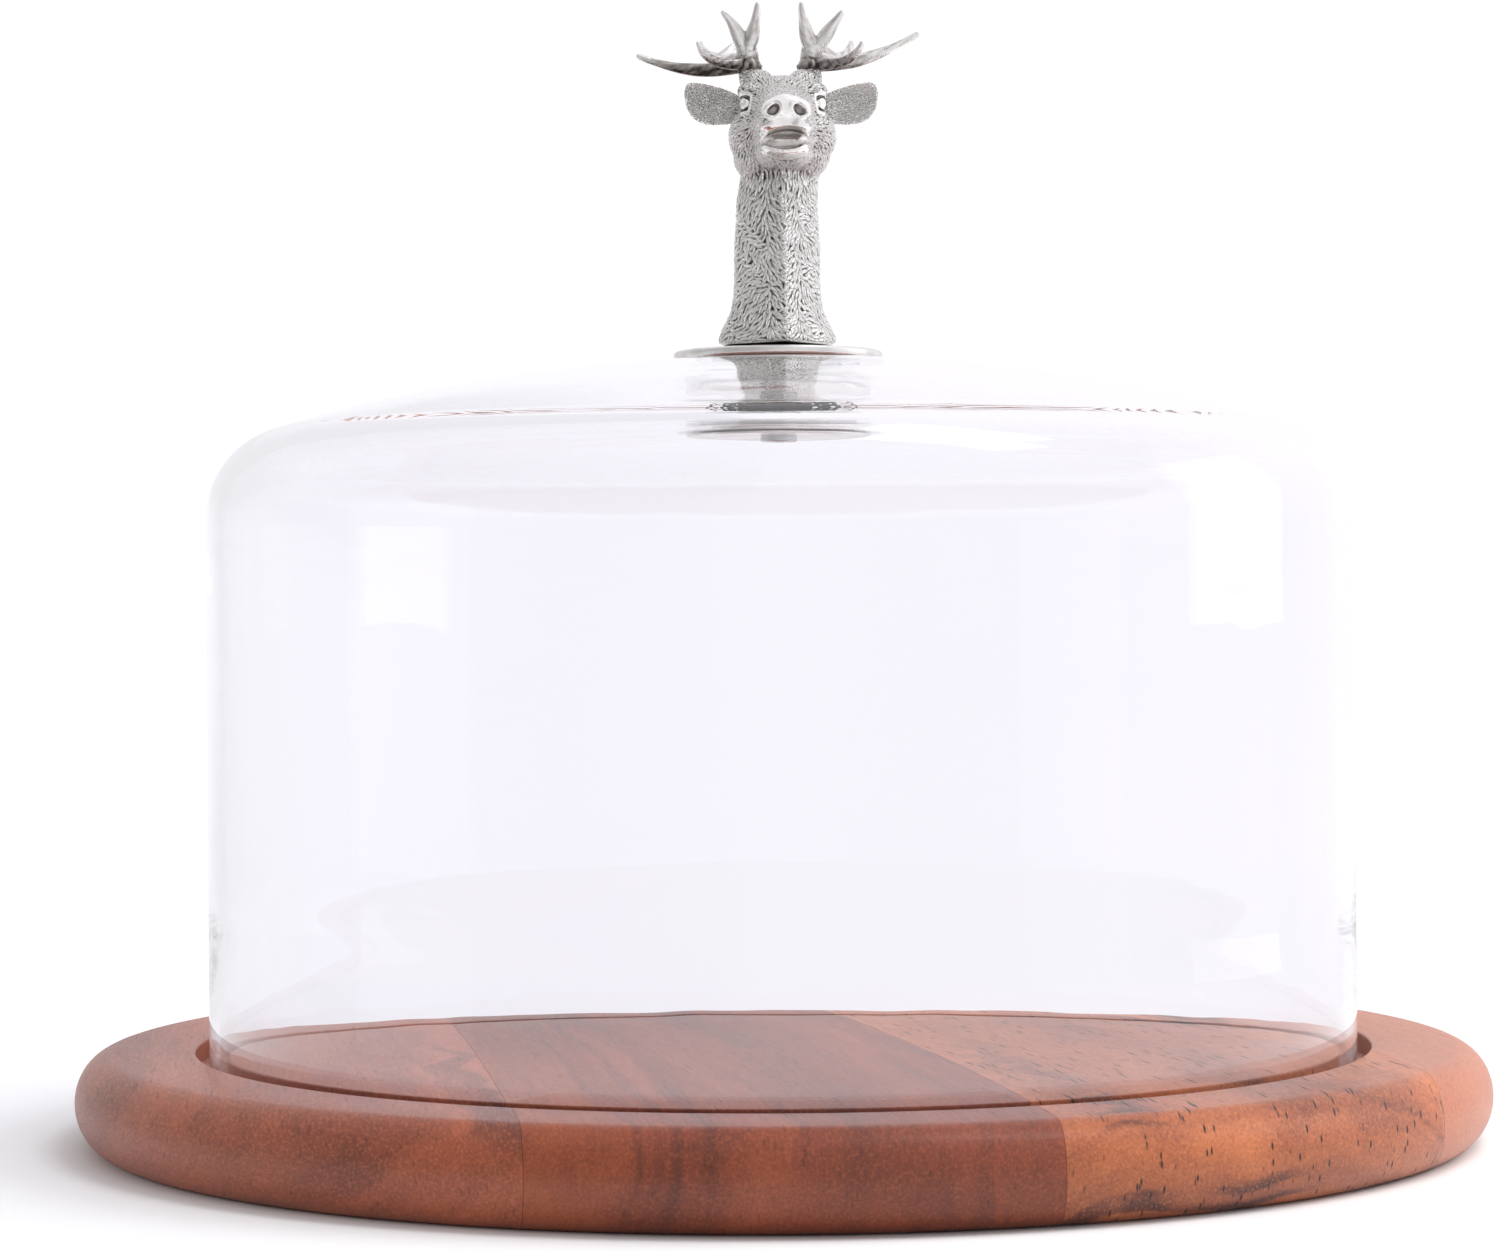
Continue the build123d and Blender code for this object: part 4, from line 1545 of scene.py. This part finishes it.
@dataclass
class Antler:
    """One cast antler: a burr, a short trunk, and tapering tines with long furrows."""

    side: int
    rise: float
    spread: float
    base: float = KNOB_BASE
    turn: float = 2.2
    sideways: float = 0.95
    beam: float = 2.4
    tip: float = 0.78
    grain: float = 0.2
    ball_gap: float = 0.42
    bulge: float = 0.07
    flatness: float = 0.86
    furrow_depth: float = 0.09
    knob_height: float = 0.3
    burr: Point = (7.6, 3.0, 72.5)
    burr_reach: float = 4.0
    top: float = 88.4

    def tines(self) -> list[tuple[Point, Point, Point, float, float]]:
        """Lists the tines.

        Returns:
            For each its start, middle and end, and its radius at the start and at the end.
        """
        beam, tip = self.beam, self.tip
        return [
            ((7.6, 2.8, 71.4), (8.0, 2.8, 75.0), (8.9, 2.2, 77.4), beam * 1.2, beam * 1.0),
            ((8.7, 2.4, 75.6), (self.spread - 3.2, 0.6, 81.3), (self.spread, -0.6, 85.6), beam * 0.86, tip),
            ((8.7, 2.4, 75.6), (6.6, 0.4, 81.6), (5.6, -1.2, 87.6), beam * 0.92, tip),
            ((8.3, 2.6, 74.6), (13.2, 11.0, 74.6), (16.8, 20.0, 77.2), beam * 0.92, beam * 0.66),
            ((16.3, 18.6, 76.7), (18.8, 23.5, 79.0), (19.8, 27.4, 82.0), beam * 0.68, tip),
            ((15.2, 15.6, 75.6), (12.6, 19.8, 79.0), (8.6, 22.2, 81.8), beam * 0.6, tip),
            ((8.4, 3.6, 73.0), (22.0, 6.4, (self.rise + 68.4) / 2), (35.9, 8.0, self.rise - 0.1),
             beam * 0.82, tip),
            ((9.6, 2.2, 73.2), (16.6, -1.4, 73.2), (20.8, -3.7, 77.3), beam * 0.66, tip * 0.9),
        ]

    def arc(self, start: Point, middle: Point, end: Point, count: int) -> list[Vector]:
        """Gives points on the curve through three points.

        Args:
            start: its start.
            middle: a point halfway along.
            end: its end.
            count: how many points.

        Returns:
            The points.
        """
        a, b, c = Vector(start), Vector(middle), Vector(end)
        control = b * 2 - (a + c) / 2
        shares = [step / (count - 1) for step in range(count)]
        return [a * (1 - s) ** 2 + control * (2 * s * (1 - s)) + c * s * s for s in shares]

    def lay_tine(self, clay: Clay, start: Point, middle: Point, end: Point, first: float,
                 last: float) -> list[tuple[Point, Point, float]]:
        """Lays one tine as a close row of balls, slightly flat and with a few soft bulges.

        Args:
            clay: the clay to add it to.
            start: where it starts.
            middle: a point halfway along.
            end: its tip.
            first: its radius at the start.
            last: its radius at the tip.

        Returns:
            For each ball its centre, the tine's direction there and its radius.
        """
        length = (Vector(end) - Vector(start)).length
        path = self.arc(start, middle, end, int(length / self.ball_gap) + 4)
        knots = []
        for number, point in enumerate(path):
            share = number / (len(path) - 1)
            bulge = 1 + self.bulge * math.sin(share * 9 + first * 5)
            radius = (first + (last - first) * share ** 1.5) * (bulge if share < 0.9 else 1)
            centre = (self.side * point[0], point[1], point[2])
            clay.ball(centre, (radius, radius * (self.flatness if share > 0.15 else 1.0), radius))
            ahead = path[min(number + 1, len(path) - 1)] - path[max(number - 1, 0)]
            knots.append((centre, (self.side * ahead[0], ahead[1], ahead[2]), radius))
        return knots

    def build(self, pewter: bpy.types.Material, name: str) -> bpy.types.Object:
        """Builds and dresses the antler.

        Args:
            pewter: its material.
            name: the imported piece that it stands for.

        Returns:
            The antler.
        """
        clay = Clay(self.base)
        knots = [knot for tine in self.tines() for knot in self.lay_tine(clay, *tine)]
        clay.ball((self.side * self.burr[0], *self.burr[1:]), (3.1, 3.1, 0.75))
        clay.fuse(self.grain, 5)
        spine, heading, thickness = (np.array(column) for column in zip(*knots))
        self.furrow(clay, spine, unit(heading), thickness)
        Bench.pick(clay.piece)
        clay.piece.rotation_euler = (0, 0, math.radians(self.turn))
        clay.piece.location = (self.sideways * MM, 0, 0)
        Bench.settle(clay.piece, "cast_" + name, smooth_angle=180)
        dress(clay.piece, pewter)
        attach(clay.piece, "finial")
        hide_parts(name)
        return clay.piece

    def furrow(self, clay: Clay, spine: np.ndarray, heading: np.ndarray, thickness: np.ndarray) -> None:
        """Cuts long furrows along the tines and a rough burr, and notes the relief.

        Args:
            clay: the antler.
            spine: points along its tines.
            heading: the tines' directions there.
            thickness: their radii there.
        """
        points, normals = clay.read()
        tree = KDTree(len(spine))
        for number, point in enumerate(spine):
            tree.insert(point, number)
        tree.balance()
        near = np.array([tree.find(point)[1] for point in points])
        offset = points - spine[near]
        axis = heading[near]
        along = np.sum(points * axis, axis=1)
        level = unit(np.cross(axis, (0.3, -0.5, 0.81)))
        other = np.cross(axis, level)
        angle = np.arctan2(np.sum(offset * other, axis=1), np.sum(offset * level, axis=1))
        twist = angle + 0.02 * along
        furrow = 0.5 + 0.3 * np.sin(twist * 3 + 1.2 * np.sin(along * 0.4))
        furrow = furrow + 0.2 * np.sin(twist * 5 + along * 0.3)
        pits = 0.5 + 0.5 * np.sin(along * 0.9 + 2 * np.sin(angle * 2)) * np.sin(angle * 2 + along * 0.5)
        strength = np.clip(thickness[near] / self.beam, 0.15, 1.0)
        from_burr_x = points[:, 0] - self.side * self.burr[0]
        from_burr_y = points[:, 1] - self.burr[1]
        at_burr = np.hypot(from_burr_x, from_burr_y) < self.burr_reach
        burr = bell(points[:, 2], self.burr[2], 0.9) * at_burr
        knobs = 0.5 + 0.5 * np.sin(np.arctan2(from_burr_y, from_burr_x) * 9)
        height = furrow * 0.7 + pits * 0.3
        rise = (height - 0.6) * self.furrow_depth * strength + burr * knobs * self.knob_height
        swell(points, normals, rise)
        points[:, 2] = np.minimum(points[:, 2], self.top)
        clay.write(points)
        fine, normals = clay.read()
        cavity = np.sum((fine - clay.neighbours_mean(fine, 6)) * normals, axis=1)
        low = 1 - np.clip((points[:, 2] - 71.5) / 4.5, 0, 1)
        clay.note("relief", np.clip(0.36 + height * 0.20 + cavity * 1.4 - low * 0.28, 0, 1))
        clay.note("strand", angle * 1.2)
        clay.note("furry", np.zeros(len(points)))


# ------------------------------------------------------------------------------------------- studio
@dataclass(frozen=True)
class SoftBox:
    """A rectangular lamp: its place, what it points at, its size in metres and its power in watts.

    One that doesn't show in glass lights the table, but isn't mirrored in a piece or seen through the cover.
    """

    name: str
    place: Point
    aim: Point
    size: Spot
    power: float
    shows_in_glass: bool = True


@dataclass
class Studio:
    """A white table in a white room, with large soft lamps and a long lens level with the glass.

    The room's light goes from the front left, 0, to the back right, 1; the bounces are many because light
    runs far inside the clear wall of the cover.
    """

    lens: float = 92.13
    sensor_width: float = 36.0
    near_clip: float = 0.02
    distance: float = 0.979
    eye_height: float = 0.1293
    yaw: float = 0.00779
    pitch: float = -0.0011
    roll: float = -0.0067
    floor_size: float = 9.0
    floor_near: float = 0.26
    floor_far: float = 0.48
    bounces: int = 400
    camera_white: Colour = (1.05, 1.05, 1.05)
    room_light: tuple[tuple[float, Colour], ...] = (
        (0.08, (0.48, 0.475, 0.48)), (0.22, (0.78, 0.775, 0.78)), (0.42, (0.84, 0.835, 0.85)),
        (0.57, (0.86, 0.855, 0.89)), (0.67, (0.975, 0.965, 1.005)), (0.72, (0.985, 0.975, 1.015)),
        (0.95, (1.04, 1.02, 1.05)))
    lamps: tuple[SoftBox, ...] = (
        SoftBox("left_card", (-1.14, -0.37, 0.12), (-0.09, -0.1, 0.095), (0.6, 0.26), 0.11),
        SoftBox("right_card", (1.18, 0.12, 0.47), (0.05, -0.06, 0.20), (0.6, 0.70), 0.8),
        SoftBox("right_box", (1.35, 0.15, 0.95), (0, 0, 0.10), (0.8, 0.8), 15, False),
        SoftBox("left_fill", (-1.3, -0.25, 0.5), (-0.1, -0.05, 0.02), (0.6, 0.6), 3, False),
        SoftBox("top_box", (0.72, -0.20, 1.68), (0, 0, 0.05), (0.62, 0.8), 12, False),
        SoftBox("crown_card", (0.61, -0.20, 1.66), (0, 0, 0.17), (0.36, 0.7), 2.0))

    def wall_light(self, desk: NodeDesk, x: Signal, y: Signal, z: Signal | float) -> bpy.types.NodeSocket:
        """Works out how bright the room is in a direction: a little dimmer high on the left.

        Args:
            desk: the nodes to work in.
            x: the direction's way right.
            y: its way back.
            z: its way up.

        Returns:
            The light's colour.
        """
        dim = (x * z * -1.0).over(0.0, 0.05)
        lean = x * 0.30 + y * 0.28 + z * 0.10 + 0.5 - dim * 0.20
        return desk.ramp(lean, self.room_light)

    def floor(self) -> None:
        """Lays the pale floor: matt near the board, and glowing like the room farther out."""
        Bench.deselect()
        bpy.ops.mesh.primitive_plane_add(size=self.floor_size, location=(0, 0, 0))
        floor = bpy.context.object
        Bench.edit(floor)
        bpy.ops.mesh.subdivide(number_cuts=8)
        Bench.settle(floor, "white_table")
        paint = Paint("white_laminate")
        grain = paint.noise(paint.place(), 60, 3)
        white = paint.mix(grain, (0.785, 0.785, 0.79), (0.805, 0.805, 0.807))
        paint.set(Base_Color=white, Roughness=grain * 0.1 + 0.6, Specular_IOR_Level=0.1)
        x, y, _ = paint.axes(paint.place())
        radius = (x * x + y * y).root()
        far = radius.over(self.floor_near, self.floor_far)
        path = Signal(paint, paint.node("ShaderNodeLightPath").outputs["Is Camera Ray"])
        glow = paint.mix(path, self.wall_light(paint, x / radius, y / radius, 0.0), self.camera_white)
        shine = paint.node("ShaderNodeEmission", {}, {"Color": glow}).outputs[0]
        both = paint.node("ShaderNodeMixShader", {}, {0: far, 1: paint.shader.outputs[0], 2: shine})
        paint.feed(paint.output.inputs["Surface"], both.outputs[0])
        dress(floor, paint.material)

    @staticmethod
    def hang(box: SoftBox) -> None:
        """Hangs one soft box.

        Args:
            box: what is hung.
        """
        Bench.deselect()
        turn = (Vector(box.place) - Vector(box.aim)).to_track_quat("Z", "Y").to_euler()
        bpy.ops.object.light_add(type="AREA", location=box.place, rotation=turn)
        lamp = bpy.context.object
        lamp.name = box.name
        lamp.data.shape = "RECTANGLE"
        lamp.data.size, lamp.data.size_y = box.size
        lamp.data.energy = box.power
        lamp.visible_glossy = box.shows_in_glass
        lamp.visible_transmission = box.shows_in_glass

    def room(self) -> None:
        """Makes the room's light: white behind, above and to the right, greyer to the front left."""
        world = bpy.data.worlds.new("white_room")
        world.use_nodes = True
        bpy.context.scene.world = world
        desk = NodeDesk(world.node_tree)
        direction = desk.node("ShaderNodeTexCoord").outputs["Generated"]
        x, y, z = desk.axes(direction)
        light = self.wall_light(desk, x, y, z)
        path = Signal(desk, desk.node("ShaderNodeLightPath").outputs["Is Camera Ray"])
        seen = desk.mix(path, light, self.camera_white)
        background = desk.node("ShaderNodeBackground", {}, {"Color": seen})
        desk.feed(desk.node("ShaderNodeOutputWorld").inputs["Surface"], background.outputs[0])

    def camera(self) -> None:
        """Sets up the long lens, nearly level, a little above the middle of the glass."""
        Bench.deselect()
        bpy.ops.object.camera_add(location=(0, -self.distance, self.eye_height))
        camera = bpy.context.object
        camera.name = "long_lens"
        level = Matrix.Rotation(self.yaw, 4, "Z") @ Matrix.Rotation(math.pi / 2 + self.pitch, 4, "X")
        turned = level @ Matrix.Rotation(self.roll, 4, "Z")
        camera.rotation_euler = turned.to_euler()
        camera.data.lens = self.lens
        camera.data.sensor_width = self.sensor_width
        camera.data.clip_start = self.near_clip
        bpy.context.scene.camera = camera

    def build(self) -> None:
        """Sets up the floor, lamps, room and camera."""
        self.floor()
        for box in self.lamps:
            self.hang(box)
        self.room()
        self.camera()
        scene = bpy.context.scene
        scene.view_settings.view_transform = "Standard"
        scene.cycles.max_bounces = self.bounces
        scene.cycles.transmission_bounces = self.bounces
        scene.cycles.glossy_bounces = self.bounces


# --------------------------------------------------------------------------------------------- main
def main() -> None:
    """Builds the dome, dresses it and sets up the studio."""
    logging.basicConfig(level=logging.INFO, format="%(name)s: %(message)s")
    woods = (
        StaveWood("acacia_left", Cut.RIFT, shade(106, 51, 34), shade(160, 82, 52), shade(194, 108, 72),
                  seed=0.3, band_gap=0.026, band_strength=0.5, pore_strength=0.3, vein_strength=0.9),
        StaveWood("acacia_mid_left", Cut.QUARTER, shade(82, 36, 24), shade(126, 58, 34), shade(168, 88, 46),
                  seed=1.7, band_gap=0.026, band_strength=0.5, pore_strength=0.3, vein_strength=0.55),
        StaveWood("acacia_mid_right", Cut.FLAT, shade(80, 38, 30), shade(156, 85, 51), shade(204, 121, 70),
                  seed=2.9, band_gap=0.010, band_strength=1.5, pore_strength=1.0, vein_strength=1.4),
        StaveWood("acacia_right", Cut.QUARTER, shade(144, 80, 56), shade(166, 98, 69), shade(184, 114, 83),
                  seed=4.1, band_gap=0.03, band_strength=0.2, pore_strength=0.15),
    )
    pieces = [*Board().build(woods), GlassCover().build(ClearGlass()), *KnobFixing().build()]
    pieces += StagBust().build(CastPewter("antiqued_pewter_cast"))
    pewter = pieces[-1].data.materials[0]
    pieces.append(Antler(side=-1, rise=75.9, spread=14.3).build(pewter, "antler_left"))
    pieces.append(Antler(side=1, rise=81.5, spread=15.9).build(pewter, "antler_right"))
    Studio().build()
    for piece in pieces:
        LOG.info("%s: %d faces", piece.name, len(piece.data.polygons))
    bpy.context.view_layer.update()


if __name__ == "__main__":
    main()
